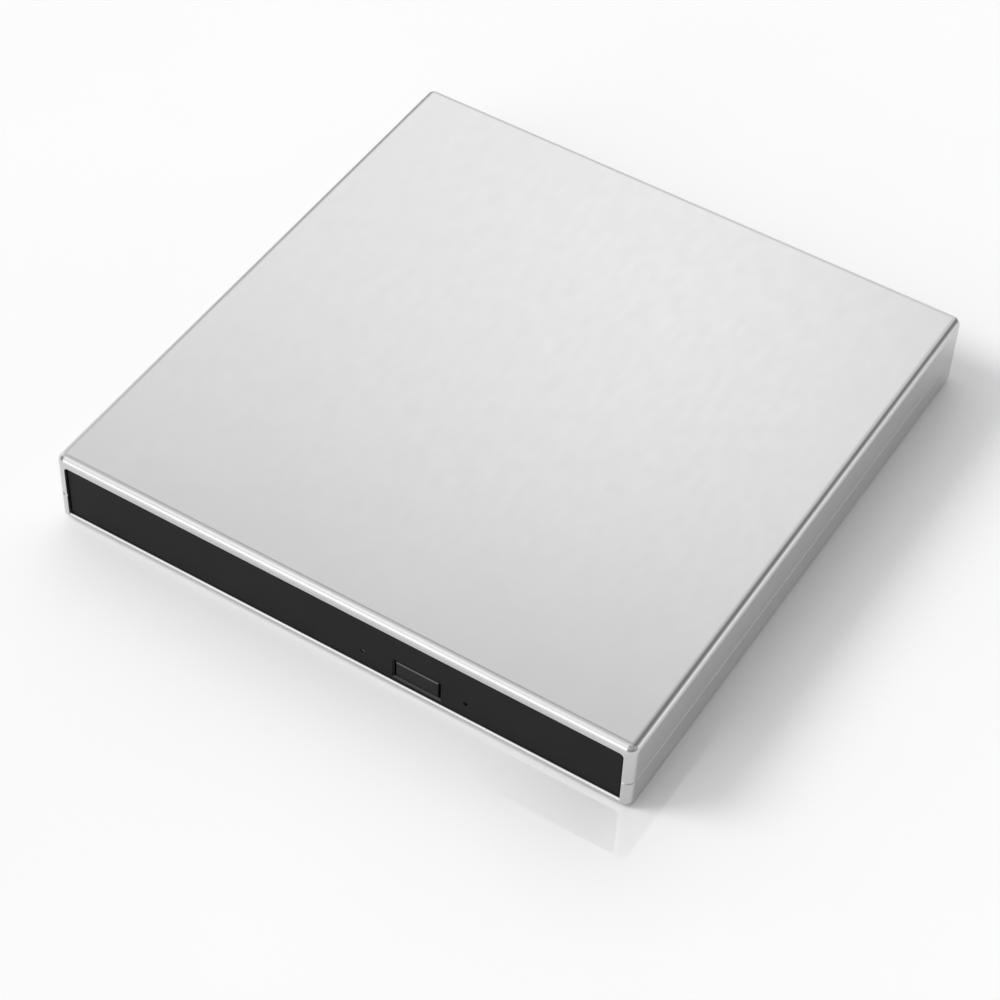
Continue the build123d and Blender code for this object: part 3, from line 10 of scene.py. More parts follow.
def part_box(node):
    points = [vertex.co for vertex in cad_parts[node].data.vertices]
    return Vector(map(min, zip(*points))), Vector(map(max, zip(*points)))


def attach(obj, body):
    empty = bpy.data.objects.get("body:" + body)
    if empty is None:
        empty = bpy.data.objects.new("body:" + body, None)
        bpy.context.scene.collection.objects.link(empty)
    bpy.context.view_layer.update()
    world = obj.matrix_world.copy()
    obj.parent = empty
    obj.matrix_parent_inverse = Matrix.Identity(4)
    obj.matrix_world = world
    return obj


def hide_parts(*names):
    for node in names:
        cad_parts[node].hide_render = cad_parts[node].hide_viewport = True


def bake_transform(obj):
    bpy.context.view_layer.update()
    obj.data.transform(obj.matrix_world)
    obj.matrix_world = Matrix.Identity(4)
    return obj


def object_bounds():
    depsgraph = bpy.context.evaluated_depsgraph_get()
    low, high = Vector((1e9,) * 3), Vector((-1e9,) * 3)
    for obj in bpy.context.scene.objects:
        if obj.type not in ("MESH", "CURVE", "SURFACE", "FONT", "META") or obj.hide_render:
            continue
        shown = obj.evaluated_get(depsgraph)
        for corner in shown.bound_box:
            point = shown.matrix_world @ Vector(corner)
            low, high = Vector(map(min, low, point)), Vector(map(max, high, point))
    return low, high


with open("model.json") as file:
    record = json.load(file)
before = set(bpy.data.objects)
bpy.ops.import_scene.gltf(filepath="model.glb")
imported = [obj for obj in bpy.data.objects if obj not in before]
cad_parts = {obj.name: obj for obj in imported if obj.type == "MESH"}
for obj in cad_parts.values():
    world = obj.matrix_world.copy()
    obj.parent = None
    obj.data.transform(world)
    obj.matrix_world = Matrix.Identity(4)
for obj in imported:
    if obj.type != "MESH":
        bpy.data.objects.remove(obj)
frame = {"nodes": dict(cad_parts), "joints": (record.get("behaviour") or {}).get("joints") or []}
cad_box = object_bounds()
nodes = frame["nodes"]
scene = bpy.context.scene
MM = 0.001
# Range that holds most values of a noise texture
NOISE_LOW, NOISE_HIGH = 0.3, 0.7
# Spacing of a wave texture at scale 1
WAVE_SPACING = math.pi / 10


class Shader:
    """A Principled material whose textures read the piece's own coordinates, in metres."""

    def __init__(self, name, **sockets):
        self.mat = bpy.data.materials.new(name)
        self.mat.use_nodes = True
        self.tree = self.mat.node_tree
        self.tree.nodes.clear()
        self.bsdf = self.node("ShaderNodeBsdfPrincipled")
        self.node("ShaderNodeOutputMaterial", {"Surface": self.bsdf.outputs["BSDF"]})
        self.coords = self.node("ShaderNodeTexCoord").outputs["Object"]
        for key, value in sockets.items():
            self.set(key, value)

    def node(self, kind, inputs=None, **settings):
        """A new node with its settings, and with its inputs set or linked."""
        made = self.tree.nodes.new(kind)
        for key, value in settings.items():
            setattr(made, key, value)
        for key, value in (inputs or {}).items():
            self.feed(made.inputs[key], value)
        return made

    def feed(self, socket, value):
        """Sets an input to a constant, or links it to an output."""
        if isinstance(value, bpy.types.NodeSocket):
            self.tree.links.new(value, socket)
        else:
            socket.default_value = value

    def set(self, key, value):
        """Feeds one of the shader's own sockets. A colour is given as three numbers."""
        if isinstance(value, tuple):
            value = (*value, 1.0)
        self.feed(self.bsdf.inputs[key.replace("_", " ")], value)

    def place(self, stretch=(1, 1, 1), turn=(0, 0, 0), shift=(0, 0, 0)):
        """The coordinates stretched, turned and moved."""
        inputs = {"Vector": self.coords, "Scale": stretch, "Rotation": turn, "Location": shift}
        return self.node("ShaderNodeMapping", inputs).outputs["Vector"]

    def noise(self, size_mm, detail=3.0, rough=0.5, at=None):
        """Noise whose features are about that size."""
        inputs = {"Vector": at or self.coords, "Scale": 1 / (size_mm * MM),
                  "Detail": detail, "Roughness": rough}
        return self.node("ShaderNodeTexNoise", inputs).outputs["Fac"]

    def cells(self, size_mm, output="Distance", at=None):
        """Cell pattern whose cells are about that size."""
        inputs = {"Vector": at or self.coords, "Scale": 1 / (size_mm * MM)}
        return self.node("ShaderNodeTexVoronoi", inputs).outputs[output]

    def waves(self, size_mm, direction, kind="BANDS", profile="SIN", at=None, distortion=0.0):
        """Stripes or rings that repeat at that spacing."""
        inputs = {"Vector": at or self.coords, "Scale": WAVE_SPACING / (size_mm * MM),
                  "Distortion": distortion}
        settings = {"wave_type": kind, "wave_profile": profile, kind.lower() + "_direction": direction}
        return self.node("ShaderNodeTexWave", inputs, **settings).outputs["Fac"]

    def span(self, value, low, high, start=NOISE_LOW, end=NOISE_HIGH):
        """Maps a texture from start..end to low..high."""
        inputs = {"Value": value, "From Min": start, "From Max": end, "To Min": low, "To Max": high}
        return self.node("ShaderNodeMapRange", inputs).outputs["Result"]

    def shades(self, value, *stops):
        """Colours along a texture, as (place, colour) stops."""
        ramp = self.node("ShaderNodeValToRGB", {"Fac": value})
        marks = ramp.color_ramp.elements
        while len(marks) < len(stops):
            marks.new(0.5)
        for mark, (at, colour) in zip(marks, stops):
            mark.position = at
            mark.color = (*colour, 1.0)
        return ramp.outputs["Color"]

    def math(self, operation, first, second):
        """One operation on two textures or numbers."""
        return self.node("ShaderNodeMath", {0: first, 1: second}, operation=operation).outputs["Value"]

    def mix(self, *parts):
        """Sum of (texture, share) pairs."""
        total = None
        for value, share in parts:
            term = self.math("MULTIPLY", value, share)
            total = term if total is None else self.math("ADD", total, term)
        return total

    def tone(self, texture, dark, light, low=NOISE_LOW, high=NOISE_HIGH):
        """Colours the surface from dark to light along a texture."""
        self.set("Base_Color", self.shades(texture, (low, dark), (high, light)))

    def gloss(self, texture, smooth, rough, low=NOISE_LOW, high=NOISE_HIGH):
        """Varies the surface's roughness along a texture."""
        self.set("Roughness", self.span(texture, smooth, rough, low, high))

    def bump(self, height, depth_mm, strength):
        """Gives the surface a fine relief of that depth."""
        inputs = {"Height": height, "Distance": depth_mm * MM, "Strength": strength}
        self.set("Normal", self.node("ShaderNodeBump", inputs).outputs["Normal"])


def grey(level):
    return (level, level, level)


def silver_paint():
    """Satin silver paint: fine metal flake, faint handling marks and a slight orange peel."""
    s = Shader("silver_paint", Metallic=0.96)
    flake = s.noise(0.1, 2.0, 0.6)
    cloud = s.noise(16.0)
    marks = s.noise(2.6, 4.0, 0.65, s.place((1, 0.45, 1), (0, 0, 0.5)))
    peel = s.noise(0.7, 2.0)
    s.tone(s.mix((flake, 0.7), (cloud, 0.3)), grey(0.56), grey(0.64))
    s.gloss(s.mix((flake, 0.4), (marks, 0.35), (cloud, 0.25)), 0.17, 0.26, 0.35, 0.65)
    s.bump(s.mix((peel, 0.8), (flake, 0.2)), 0.002, 0.5)
    return s.mat


# Heights of the normal between which an edge counts as a rounded upper one, fading in and out, where a
# painted highlight makes the colour paler
EDGE_IN, EDGE_OUT = (0.2, 0.45), (0.84, 0.97)


def moulded(name, dark, light, rough, grain_mm, depth_mm, edge_highlight_grey=0.0, **sockets):
    """Plastic of a neutral shade with a spark-eroded grain, and a painted highlight that makes rounded
    upper edges paler if one is given.
    """
    s = Shader(name, **sockets)
    grain = s.noise(grain_mm, 3.0, 0.6)
    patch = s.noise(14.0)
    colour = s.shades(s.mix((grain, 0.6), (patch, 0.4)), (0.3, grey(dark)), (0.72, grey(light)))
    # Painted highlight: rounded upper edges are mixed towards a pale grey, standing in for the light they
    # catch
    if edge_highlight_grey:
        normal = s.node("ShaderNodeNewGeometry").outputs["Normal"]
        up = s.node("ShaderNodeSeparateXYZ", {0: normal}).outputs[2]
        edge = s.math("MULTIPLY", s.span(up, 0.0, 1.0, *EDGE_IN), s.span(up, 1.0, 0.0, *EDGE_OUT))
        share = s.math("MULTIPLY", edge, s.span(grain, 0.7, 1.0))
        inputs = {"Fac": share, "Color1": colour, "Color2": (*grey(edge_highlight_grey), 1.0)}
        colour = s.node("ShaderNodeMixRGB", inputs).outputs["Color"]
    s.set("Base_Color", colour)
    s.gloss(s.mix((grain, 0.35), (patch, 0.65)), *rough)
    s.bump(grain, depth_mm, 0.7)
    return s.mat


def rubber():
    """Soft matt rubber with dust in its pores."""
    s = Shader("matt_rubber", Specular_IOR_Level=0.3)
    pores = s.cells(0.35)
    dust = s.noise(1.8, 4.0, 0.6)
    s.tone(s.mix((pores, 0.4), (dust, 0.6)), grey(0.018), grey(0.05), high=0.75)
    s.gloss(dust, 0.72, 0.95)
    s.bump(s.mix((pores, 0.6), (s.noise(0.12, 2.0), 0.4)), 0.03, 0.6)
    return s.mat


def sheet_steel(name, along, tint=(0.98, 1.0, 1.01)):
    """Plated pressed sheet: fine rolling lines one way, with cloudy plating and faint spangle."""
    s = Shader(name, Metallic=1.0)
    stretch = (0.02, 1, 1) if along == "X" else (1, 0.02, 1)
    lines = s.noise(0.09, 3.0, 0.7, s.place(stretch))
    cloud = s.noise(9.0, 4.0, 0.6)
    spangle = s.cells(3.4, "Color")
    dark, light = (tuple(level * c for c in tint) for level in (0.46, 0.66))
    s.tone(s.mix((lines, 0.45), (cloud, 0.35), (spangle, 0.2)), dark, light, 0.28, 0.72)
    s.gloss(s.mix((cloud, 0.6), (lines, 0.4)), 0.24, 0.42)
    s.bump(lines, 0.003, 0.6)
    return s.mat


def bright_steel():
    """Ground steel with fine marks."""
    s = Shader("ground_steel", Metallic=1.0)
    marks = s.noise(0.05, 3.0, 0.7)
    cloud = s.noise(2.2)
    s.tone(s.mix((marks, 0.6), (cloud, 0.4)), (0.6, 0.6, 0.61), (0.74, 0.74, 0.75))
    s.gloss(marks, 0.1, 0.24)
    s.bump(marks, 0.002, 0.5)
    return s.mat


def plated_screw():
    """Dark nickel plating with dull clouds."""
    s = Shader("plated_screw", Metallic=1.0)
    grain = s.noise(0.12, 3.0, 0.6)
    cloud = s.noise(0.9)
    s.tone(s.mix((grain, 0.4), (cloud, 0.6)), (0.30, 0.30, 0.32), (0.5, 0.5, 0.52))
    s.gloss(cloud, 0.24, 0.42)
    s.bump(grain, 0.004, 0.5)
    return s.mat


def cast_metal():
    """Die-cast light alloy with a blasted skin."""
    s = Shader("cast_alloy", Metallic=1.0)
    grit = s.noise(0.16, 4.0, 0.65)
    cloud = s.noise(3.5, 4.0, 0.6)
    both = s.mix((grit, 0.5), (cloud, 0.5))
    s.tone(both, (0.40, 0.41, 0.42), (0.58, 0.59, 0.60))
    s.gloss(both, 0.38, 0.58)
    s.bump(grit, 0.012, 0.7)
    return s.mat


def turned_metal():
    """Turned light alloy: fine grooves in rings round the spindle."""
    s = Shader("turned_alloy", Metallic=1.0)
    lo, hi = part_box("turntable")
    mid = (lo + hi) / 2
    grooves = s.waves(0.16, "Z", "RINGS", at=s.place(shift=(-mid.x, -mid.y, 0)), distortion=0.4)
    cloud = s.noise(3.0)
    s.tone(s.mix((grooves, 0.35), (cloud, 0.65)), (0.52, 0.53, 0.54), (0.70, 0.71, 0.72), high=0.75)
    s.gloss(s.mix((grooves, 0.5), (cloud, 0.5)), 0.2, 0.36)
    s.bump(grooves, 0.006, 0.6)
    return s.mat


def circuit_board():
    """Green solder resist over etched copper: traces in zones that run along X or Y, and vias."""
    s = Shader("green_board", Specular_IOR_Level=0.5)
    flat = s.place((1, 1, 0))
    zone = s.math("GREATER_THAN", s.cells(5.0, "Color", flat), 0.5)
    lengthwise, crosswise = (s.math("LESS_THAN", s.waves(0.7, way), 0.3) for way in "XY")
    routed = s.math("ADD", s.math("MULTIPLY", lengthwise, zone),
                    s.math("MULTIPLY", crosswise, s.math("SUBTRACT", 1.0, zone)))
    vias = s.math("LESS_THAN", s.cells(2.3, at=flat), 0.12)
    cloud = s.noise(5.0)
    weave = s.noise(0.3, 2.0)
    body = s.mix((routed, 0.45), (cloud, 0.25), (weave, 0.15), (vias, 0.35))
    s.set("Base_Color", s.shades(body, (0.12, (0.006, 0.075, 0.026)), (0.35, (0.010, 0.11, 0.04)),
                                 (0.62, (0.03, 0.2, 0.075)), (0.85, (0.5, 0.46, 0.3))))
    s.gloss(s.mix((cloud, 0.6), (weave, 0.4)), 0.22, 0.4)
    s.bump(s.mix((routed, 0.7), (weave, 0.3)), 0.02, 0.7)
    return s.mat


def copper_coil():
    """Enamelled copper wire, wound across X."""
    s = Shader("wound_copper", Metallic=0.9, Coat_Weight=0.4, Coat_Roughness=0.15)
    turns = s.waves(0.22, "X")
    cloud = s.noise(0.8)
    s.tone(s.mix((turns, 0.6), (cloud, 0.4)), (0.20, 0.075, 0.025), (0.72, 0.33, 0.13), 0.2, 0.75)
    s.gloss(cloud, 0.25, 0.42)
    s.bump(turns, 0.06, 0.9)
    return s.mat


def amber_film():
    """Amber film over thin copper tracks that run along Y, with a soft sheen."""
    s = Shader("amber_film", Coat_Weight=0.6, Coat_Roughness=0.12)
    tracks = s.waves(0.6, "X", profile="TRI")
    cloud = s.noise(4.0)
    s.set("Base_Color", s.shades(s.mix((tracks, 0.75), (cloud, 0.25)), (0.3, (0.28, 0.11, 0.015)),
                                 (0.5, (0.46, 0.2, 0.035)), (0.7, (0.62, 0.34, 0.09))))
    s.gloss(cloud, 0.28, 0.42)
    s.bump(tracks, 0.02, 0.6)
    return s.mat


def grained(name, grain_mm, dark, light, rough, depth_mm=0.0, **sockets):
    """A plain fine material: one grain varies its colour and gloss, and is a relief if it has a depth."""
    s = Shader(name, **sockets)
    grain = s.noise(grain_mm, 3.0, 0.6 if depth_mm else 0.5)
    s.tone(grain, dark, light)
    s.gloss(grain, *rough)
    if depth_mm:
        s.bump(grain, depth_mm, 0.5)
    return s.mat


def dress(material, *names):
    """Gives CAD nodes their material."""
    for name in names:
        slots = nodes[name].data.materials
        slots.clear()
        slots.append(material)


TINNED = grained("tinned_lead", 0.1, (0.52, 0.53, 0.54), (0.74, 0.74, 0.75), (0.22, 0.42), 0.004,
                 Metallic=1.0)
GOLD = grained("gold_plating", 0.08, (0.62, 0.42, 0.14), (0.86, 0.64, 0.28), (0.16, 0.32), 0.002,
               Metallic=1.0)
CERAMIC = grained("fired_ceramic", 0.14, (0.26, 0.17, 0.10), (0.42, 0.30, 0.19), (0.34, 0.52), 0.004,
                  Specular_IOR_Level=0.4)
FILM, STEEL, COPPER = amber_film(), bright_steel(), copper_coil()

dress(silver_paint(), "top_cover", "bottom_cover")
# The panel and the button get a painted highlight, a pale grey on their rounded upper edges
dress(moulded("panel_black", 0.004, 0.008, (0.44, 0.56), 0.2, 0.008, edge_highlight_grey=0.06, Specular_IOR_Level=0.13),
      "tray_bezel")
dress(moulded("button_black", 0.005, 0.009, (0.36, 0.48), 0.14, 0.004, edge_highlight_grey=0.16, Specular_IOR_Level=0.15),
      "eject_button")
dress(moulded("tray_black", 0.010, 0.024, (0.46, 0.64), 0.32, 0.018), "disc_tray")
dress(moulded("guide_black", 0.012, 0.026, (0.34, 0.5), 0.2, 0.008),
      "rail_guide_left", "rail_guide_right", "sled_rack", "lens_frame")
dress(moulded("slider_white", 0.52, 0.64, (0.3, 0.44), 0.25, 0.006),
      "hub_jaws", "latch_lever", "eject_switch")
dress(moulded("chip_black", 0.02, 0.04, (0.5, 0.68), 0.12, 0.006), "drive_chips", "bridge_chips")
dress(moulded("connector_black", 0.014, 0.028, (0.34, 0.48), 0.25, 0.006),
      "drive_socket", "bridge_plug", "usb_tongue", "power_jack")
dress(rubber(), "rubber_feet", "traverse_dampers", "turntable_pad")
dress(sheet_steel("zinc_sheet", "X"), "drive_pan", "drive_lid", "underplate")
dress(sheet_steel("zinc_rail", "Y"), "slide_rail_left", "slide_rail_right", "traverse_frame")
dress(sheet_steel("tin_shell", "Y", (1.06, 1.05, 1.02)), "usb_socket")
dress(STEEL, "guide_rod_main", "guide_rod_side", "spindle_shaft", "lead_screw", "latch_post", "power_pin")
dress(plated_screw(), "case_screws", "drive_screws", "traverse_screws", "underplate_screws")
dress(cast_metal(), "pickup_sled", "sled_motor", "spindle_stator")
dress(turned_metal(), "turntable")
dress(circuit_board(), "front_board", "drive_board", "bridge_board")
dress(COPPER, "latch_solenoid")
# Smoke-tinted plastic that carries the light to the panel and is dark while the lamp is off
dress(grained("clear_guide", 0.25, (0.14, 0.17, 0.15), (0.24, 0.28, 0.25), (0.08, 0.22),
              IOR=1.49, Transmission_Weight=0.9, Specular_IOR_Level=0.25), "status_light")
# Moulded lamp with a pale green lens, unlit
dress(grained("lamp_body", 0.3, (0.16, 0.55, 0.24), (0.3, 0.74, 0.4), (0.16, 0.3), Specular_IOR_Level=0.6),
      "status_lamp")
# Small moulded lens with a violet coating
dress(grained("coated_lens", 0.5, (0.62, 0.64, 0.86), (0.78, 0.8, 0.96), (0.02, 0.06), IOR=1.6,
              Transmission_Weight=0.9, Coat_Weight=1.0, Coat_Roughness=0.03, Coat_Tint=(0.62, 0.55, 1.0)),
      "objective_lens")


def piece(name, shape, material, body, smooth=True):
    """Turns a bmesh into an object that rides on a body, if one is given."""
    mesh = bpy.data.meshes.new(name)
    bmesh.ops.recalc_face_normals(shape, faces=shape.faces)
    shape.to_mesh(mesh)
    shape.free()
    for polygon in mesh.polygons:
        polygon.use_smooth = smooth
    made = bpy.data.objects.new(name, mesh)
    scene.collection.objects.link(made)
    mesh.materials.append(material)
    if body:
        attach(made, body)
    return made


def block(shape, lo, hi, bevel):
    """Adds a box between two corners, with its edges broken by a small bevel."""
    verts = bmesh.ops.create_cube(shape, size=1.0)["verts"]
    lo, hi = Vector(lo), Vector(hi)
    for v in verts:
        v.co = Vector(lo[i] + (v.co[i] + 0.5) * (hi[i] - lo[i]) for i in range(3))
    edges = {e for v in verts for e in v.link_edges}
    bmesh.ops.bevel(shape, geom=list(edges), offset=bevel, segments=1, affect="EDGES")


def tube(shape, rows, closed=False):
    """Joins rows of four corners by faces, and caps both ends unless the last row meets the first."""
    for near, far in zip(rows, rows[1:] + (rows[:1] if closed else [])):
        for i in range(4):
            shape.faces.new((near[i], near[(i + 1) % 4], far[(i + 1) % 4], far[i]))
    if not closed:
        shape.faces.new(rows[0][::-1])
        shape.faces.new(rows[-1])


def strip(shape, profile, across, thick):
    """Adds a bent strip: a path of points, swept sideways by a vector and given a thickness."""
    across = Vector(across)
    side = across.normalized()
    rows = []
    for i, point in enumerate(profile):
        back = Vector(profile[max(i - 1, 0)])
        ahead = Vector(profile[min(i + 1, len(profile) - 1)])
        normal = (ahead - back).cross(side).normalized() * thick / 2
        middle = Vector(point)
        corners = (middle - across / 2 - normal, middle + across / 2 - normal,
                   middle + across / 2 + normal, middle - across / 2 + normal)
        rows.append([shape.verts.new(c) for c in corners])
    tube(shape, rows)


# Flat cable: it lies on the drive's floor, rolls over in front and goes back under the tray.
FILM_T = 0.16 * MM
RUN_STEPS, ROLL_STEPS = 24, 16
lo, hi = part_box("flex_cable")
low_z, high_z = lo.z + FILM_T, hi.z - FILM_T
roll_r = (high_z - low_z) / 2
fold_y = lo.y + (hi.z - lo.z) / 2
board_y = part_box("drive_board")[0].y
mid_x, width = (lo.x + hi.x) / 2, hi.x - lo.x
line = [Vector((mid_x, board_y + (fold_y - board_y) * i / RUN_STEPS, low_z)) for i in range(RUN_STEPS)]
for i in range(ROLL_STEPS + 1):
    turn = math.pi * i / ROLL_STEPS
    line.append(Vector((mid_x, fold_y - roll_r * math.sin(turn), low_z + roll_r - roll_r * math.cos(turn))))
line += [Vector((mid_x, fold_y + (hi.y - fold_y) * i / RUN_STEPS, high_z)) for i in range(1, RUN_STEPS + 1)]
shape = bmesh.new()
strip(shape, line, (width, 0, 0), FILM_T)
ribbon = piece("flex_ribbon", shape, FILM, None)
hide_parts("flex_cable")
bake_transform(ribbon)


def islands(name):
    """Boxes of the separate solids of a CAD node."""
    shape = bmesh.new()
    shape.from_mesh(nodes[name].data)
    bmesh.ops.remove_doubles(shape, verts=shape.verts, dist=0.001 * MM)
    left, boxes = set(shape.verts), []
    while left:
        reached, todo = set(), [left.pop()]
        while todo:
            vert = todo.pop()
            reached.add(vert)
            for edge in vert.link_edges:
                other = edge.other_vert(vert)
                if other in left:
                    left.discard(other)
                    todo.append(other)
        corners = [v.co for v in reached]
        boxes.append(tuple(Vector(pick(c[i] for c in corners) for i in range(3)) for pick in (min, max)))
    shape.free()
    return sorted(boxes, key=lambda b: b[0].x)


# Thread of the lead screw: two starts, so that one turn moves the pickup by the lead
THREAD_START, THREAD_END = 2.8 * MM, 1.9 * MM
THREAD_LEAD = 3.0 * MM
THREAD_RISE, THREAD_HALF = 0.08 * MM, 0.28 * MM
# The root lies a little inside the core, as a share of its radius
THREAD_ROOT = 0.98
TURN_STEPS = 20
joint = next(j for j in frame["joints"] if j["name"] == "lead_screw_turn")
axis, on_axis = Vector(joint["axis"]).normalized(), Vector(joint["pos_m"])
along = [(v.co - on_axis).dot(axis) for v in nodes["lead_screw"].data.vertices]
core_r = max((v.co - on_axis - axis * d).length for v, d in zip(nodes["lead_screw"].data.vertices, along))
root_r, crown_r = core_r * THREAD_ROOT, core_r + THREAD_RISE
first, last = min(along) + THREAD_START, max(along) - THREAD_END
up_axis = Vector((0, 0, 1))
side_axis = axis.cross(up_axis)
shape = bmesh.new()
steps = int((last - first) / THREAD_LEAD * TURN_STEPS)
for start in (0.0, math.pi):
    rows = []
    for i in range(steps + 1):
        at = first + (last - first) * i / steps
        turn = start + 2 * math.pi * (at - first) / THREAD_LEAD
        out = side_axis * math.cos(turn) + up_axis * math.sin(turn)
        points = ((at - THREAD_HALF, root_r), (at - THREAD_HALF / 3, crown_r),
                  (at + THREAD_HALF / 3, crown_r), (at + THREAD_HALF, root_r))
        rows.append([shape.verts.new(on_axis + axis * d + out * r) for d, r in points])
    tube(shape, rows)
piece("lead_screw_thread", shape, STEEL, "lead_screw", smooth=False)

# Leads round the chips of both boards, and small parts between them
LEAD_PITCH, LEAD_WIDE, LEAD_THICK = 0.8 * MM, 0.3 * MM, 0.12 * MM
LEAD_OUT, LEAD_FOOT = 0.45 * MM, 0.5 * MM
# Length, width and height in mm
PART_SIZES = ((1.6, 0.8, 0.7), (1.0, 0.5, 0.45), (1.6, 0.8, 0.5))
PART_BEVEL = 0.04 * MM
# Clear strips along a board's edges and round its larger pieces
BOARD_EDGE, PART_ROOM = 1.6 * MM, 1.3 * MM
# Steps of an even scatter, as shares of a board's sides
SCATTER_X, SCATTER_Y = 0.7549, 0.5698
# A body's size as a share of its ends', and the middle of an end as a share of half the length
BODY_SHARE, END_SHARE = 0.96, 0.62


def chip_leads(name, chips):
    """Bent leads on the four sides of each chip, down to the board."""
    shape = bmesh.new()
    for lo, hi in chips:
        mid = (lo + hi) / 2
        drop = Vector((0, 0, lo.z + LEAD_THICK / 2 - mid.z))
        for a, b in ((0, 1), (1, 0)):
            across = Vector((0, 0, 0))
            across[a] = LEAD_WIDE
            count = int((hi[a] - lo[a] - LEAD_PITCH) / LEAD_PITCH)
            for i in range(count):
                for sign, face in ((-1, lo), (1, hi)):
                    base, out = Vector(mid), Vector((0, 0, 0))
                    base[a] += (i - (count - 1) / 2) * LEAD_PITCH
                    base[b] = face[b]
                    out[b] = sign
                    path = [base - out * LEAD_THICK, base + out * LEAD_OUT,
                            base + out * (LEAD_OUT + LEAD_THICK) + drop,
                            base + out * (LEAD_OUT + LEAD_FOOT) + drop]
                    strip(shape, path, across, LEAD_THICK)
    piece(name, shape, TINNED, "case", smooth=False)


def small_parts(name, board, keep_out, count, turn):
    """Chip capacitors and resistors spread over the free part of a board, with tinned ends."""
    lo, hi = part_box(board)
    bodies, caps = bmesh.new(), bmesh.new()
    for i in range(count):
        share_x, share_y = (0.5 + i * SCATTER_X) % 1.0, (turn + i * SCATTER_Y) % 1.0
        long, wide, tall = PART_SIZES[i % len(PART_SIZES)]
        x = lo.x + BOARD_EDGE + share_x * (hi.x - lo.x - 2 * BOARD_EDGE)
        y = lo.y + BOARD_EDGE + share_y * (hi.y - lo.y - 2 * BOARD_EDGE)
        if any(a.x - PART_ROOM < x < b.x + PART_ROOM and a.y - PART_ROOM < y < b.y + PART_ROOM
               for a, b in keep_out):
            continue
        half = Vector((long, wide, 0)) * MM / 2 if i % 2 else Vector((wide, long, 0)) * MM / 2
        at, top = Vector((x, y, hi.z)), Vector((0, 0, tall * MM))
        block(bodies, at - half * BODY_SHARE, at + (half + top) * BODY_SHARE, PART_BEVEL)
        end = Vector((half.x * END_SHARE, 0, 0)) if i % 2 else Vector((0, half.y * END_SHARE, 0))
        for middle in (at - end, at + end):
            block(caps, middle - half + end, middle + half - end + top, PART_BEVEL)
    piece(name, bodies, CERAMIC, "case", smooth=False)
    piece(name + "_ends", caps, TINNED, "case", smooth=False)


drive_chips, bridge_chips = islands("drive_chips"), islands("bridge_chips")
chip_leads("drive_chip_leads", drive_chips)
chip_leads("bridge_chip_leads", bridge_chips)
small_parts("drive_parts", "drive_board",
            drive_chips + [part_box("drive_socket"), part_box("flex_cable")], count=110, turn=0.2)
small_parts("bridge_parts", "bridge_board",
            bridge_chips + [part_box(n) for n in ("bridge_plug", "usb_socket", "power_jack")],
            count=70, turn=0.35)

# Contacts of the data socket: places as shares of its tongue's width, lengths from the tongue's box
CONTACT_PLACES = (0.14, 0.32, 0.5, 0.68, 0.86)
CONTACT_HALF, CONTACT_BEVEL = 0.2 * MM, 0.03 * MM
CONTACT_IN, CONTACT_OUT = 1.2 * MM, 0.4 * MM
CONTACT_Z = (0.4 * MM, 0.52 * MM)
lo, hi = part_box("usb_tongue")
mouth_z = (lo.z + hi.z) / 2
shape = bmesh.new()
for place in CONTACT_PLACES:
    x = lo.x + (hi.x - lo.x) * place
    block(shape, (x - CONTACT_HALF, lo.y + CONTACT_IN, mouth_z + CONTACT_Z[0]),
          (x + CONTACT_HALF, hi.y - CONTACT_OUT, mouth_z + CONTACT_Z[1]), CONTACT_BEVEL)
piece("usb_contacts", shape, GOLD, "case", smooth=False)

# Spring contact of the power jack: its path in mm, as (behind the mouth, below the middle)
SPRING_PATH = ((0.9, 1.68), (2.2, 1.5), (3.4, 1.28), (4.4, 1.42), (5.6, 1.62))
SPRING_WIDE, SPRING_THICK = 1.1 * MM, 0.12 * MM
lo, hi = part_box("power_jack")
mid = (lo + hi) / 2
shape = bmesh.new()
spring = [Vector((mid.x, hi.y - behind * MM, mid.z - below * MM)) for behind, below in SPRING_PATH]
strip(shape, spring, (SPRING_WIDE, 0, 0), SPRING_THICK)
piece("jack_spring", shape, TINNED, "case")

# Coils on the two sides of the lens frame that face the yokes: flat loops with rounded corners
COIL_STEPS = 40
# Half sizes of a loop's middle line, as shares of the frame's side, and its edges as shares of that line
COIL_V, COIL_Z = 0.34, 0.30
COIL_INNER, COIL_OUTER = 0.72, 1.18
COIL_DEEP = 0.2 * MM
# Power that makes an ellipse squarer, the smaller the squarer
COIL_CORNER = 0.45


def squarish(wave):
    """Pushes a sine towards a square wave."""
    return math.copysign(abs(wave) ** COIL_CORNER, wave)


u_axis = next(Vector(j["axis"]).normalized() for j in frame["joints"] if j["name"] == "pickup_travel")
v_axis = Vector((-u_axis.y, u_axis.x, 0))
spots = [v.co for v in nodes["lens_frame"].data.vertices]
reach_u = [p.dot(u_axis) for p in spots]
reach_v = [p.dot(v_axis) for p in spots]
lens_lo, lens_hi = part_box("lens_frame")
mid_v, mid_z = (min(reach_v) + max(reach_v)) / 2, (lens_lo.z + lens_hi.z) / 2
half_v, half_z = (max(reach_v) - min(reach_v)) * COIL_V, (lens_hi.z - lens_lo.z) * COIL_Z
turns = [2 * math.pi * i / COIL_STEPS for i in range(COIL_STEPS)]
loop = [(half_v * squarish(math.cos(turn)), half_z * squarish(math.sin(turn))) for turn in turns]
section = ((COIL_INNER, 0.0), (COIL_OUTER, 0.0), (COIL_OUTER, COIL_DEEP), (COIL_INNER, COIL_DEEP))
shape = bmesh.new()
for u, sign in ((min(reach_u), -1), (max(reach_u), 1)):
    rings = []
    for v, z in loop:
        corners = [u_axis * (u + sign * deep) + v_axis * (mid_v + v * grow) + up_axis * (mid_z + z * grow)
                   for grow, deep in section]
        rings.append([shape.verts.new(c) for c in corners])
    tube(shape, rings, closed=True)
piece("focus_coils", shape, COPPER, "lens")

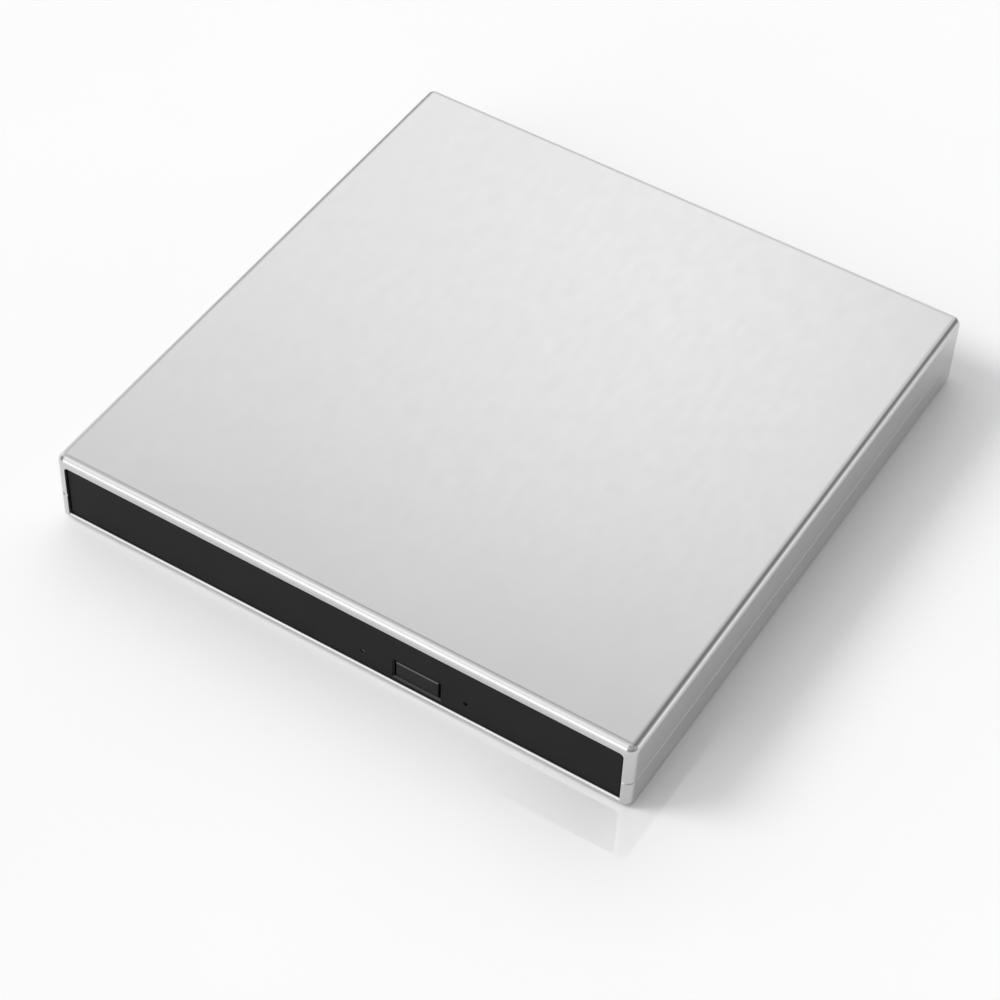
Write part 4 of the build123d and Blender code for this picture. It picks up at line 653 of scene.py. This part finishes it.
# Floor, pale, with a faint gloss near the right front corner of the case
FLOOR_HALF, FLOOR_CELLS = 4.0, 8
GLOSS_NEAR, GLOSS_FAR = 8 * MM, 32 * MM
mesh = bpy.data.meshes.new("floor")
shape = bmesh.new()
bmesh.ops.create_grid(shape, x_segments=FLOOR_CELLS, y_segments=FLOOR_CELLS, size=FLOOR_HALF)
shape.to_mesh(mesh)
shape.free()
floor = bpy.data.objects.new("floor", mesh)
scene.collection.objects.link(floor)
s = Shader("floor_white", Roughness=0.5, Specular_IOR_Level=0.2, Coat_Roughness=0.03, Coat_IOR=2.0)
s.tone(s.noise(120.0), grey(0.94), grey(0.96))
corner = (cad_box[1].x, cad_box[0].y, 0)
reach = s.node("ShaderNodeVectorMath", {0: s.coords, 1: corner}, operation="DISTANCE")
s.set("Coat_Weight", s.span(reach.outputs["Value"], 1.0, 0.0, GLOSS_NEAR, GLOSS_FAR))
mesh.materials.append(s.mat)

# Light: a studio tent as a world of soft round panels, and a broad key lamp on the left that metal doesn't
# mirror. Each panel is (bearing from the back to the right, height, spread, level), angles in degrees
PANELS = (
    (-90, 50, 35, 0.71),
    (-78, 8, 30, 1.5),
    (-42, 34, 26, 0.66),
    (-34, 38, 16, 0.80),
    (-22, 54, 14, 0.46),
    (-15, 8, 24, 1.0),
    (0, 40, 26, 0.93),
    (54, 7, 23, 0.6),
    (56, -2, 14, 1.61),
    (82, 24, 26, 0.34),
    (104, 42, 34, 0.22),
    (155, 40, 34, 0.34),
    (-138, 58, 18, 1.1),
    (-156, 35, 30, 1.28),
    (-160, 4, 28, 1.77),
    (0, 90, 32, 0.62),
)
AMBIENT = 0.3
KEY_BEARING, KEY_HEIGHT = -118, 38
KEY_ENERGY = 1.58
KEY_ANGLE = 24


def bearing_vector(bearing, height):
    """Unit vector towards a place in the sky."""
    turn, rise = math.radians(bearing), math.radians(height)
    return Vector((math.sin(turn) * math.cos(rise), math.cos(turn) * math.cos(rise), math.sin(rise)))


lamp = bpy.data.lights.new("key", "SUN")
lamp.energy = KEY_ENERGY
lamp.angle = math.radians(KEY_ANGLE)
key = bpy.data.objects.new("key", lamp)
scene.collection.objects.link(key)
key.rotation_mode = "QUATERNION"
key.rotation_quaternion = bearing_vector(KEY_BEARING, KEY_HEIGHT).to_track_quat("Z", "Y")
key.visible_glossy = False
world = bpy.data.worlds.new("tent")
scene.world = world
world.use_nodes = True
tree = world.node_tree
tree.nodes.clear()
sky = tree.nodes.new("ShaderNodeBackground")
tree.links.new(sky.outputs["Background"], tree.nodes.new("ShaderNodeOutputWorld").inputs["Surface"])
direction = tree.nodes.new("ShaderNodeTexCoord").outputs["Generated"]
total = None
for bearing, height, spread, level in PANELS:
    dot = tree.nodes.new("ShaderNodeVectorMath")
    dot.operation = "DOT_PRODUCT"
    tree.links.new(direction, dot.inputs[0])
    dot.inputs[1].default_value = bearing_vector(bearing, height)
    fade = tree.nodes.new("ShaderNodeMapRange")
    fade.interpolation_type = "SMOOTHSTEP"
    tree.links.new(dot.outputs["Value"], fade.inputs["Value"])
    fade.inputs["From Min"].default_value = math.cos(math.radians(spread))
    fade.inputs["From Max"].default_value = 1.0
    fade.inputs["To Max"].default_value = level
    add = tree.nodes.new("ShaderNodeMath")
    tree.links.new(fade.outputs["Result"], add.inputs[0])
    if total is None:
        add.inputs[1].default_value = AMBIENT
    else:
        tree.links.new(total, add.inputs[1])
    total = add.outputs["Value"]
tree.links.new(total, sky.inputs["Strength"])

# Camera of the photograph: its axes and place
RIGHT = (0.84637, 0.53162, 0.03037)
UP = (-0.41222, 0.61821, 0.66924)
BACK = (0.33708, -0.57894, 0.74243)
PLACE = (0.20171, -0.35346, 0.43334)
camera = bpy.data.objects.new("photo_view", bpy.data.cameras.new("photo_view"))
scene.collection.objects.link(camera)
camera.data.sensor_width = 36.0
camera.data.lens = 102.276
camera.data.clip_start = 0.01
camera.matrix_world = Matrix((*zip(RIGHT, UP, BACK, PLACE), (0, 0, 0, 1)))
scene.camera = camera

scene.view_settings.view_transform = "Standard"
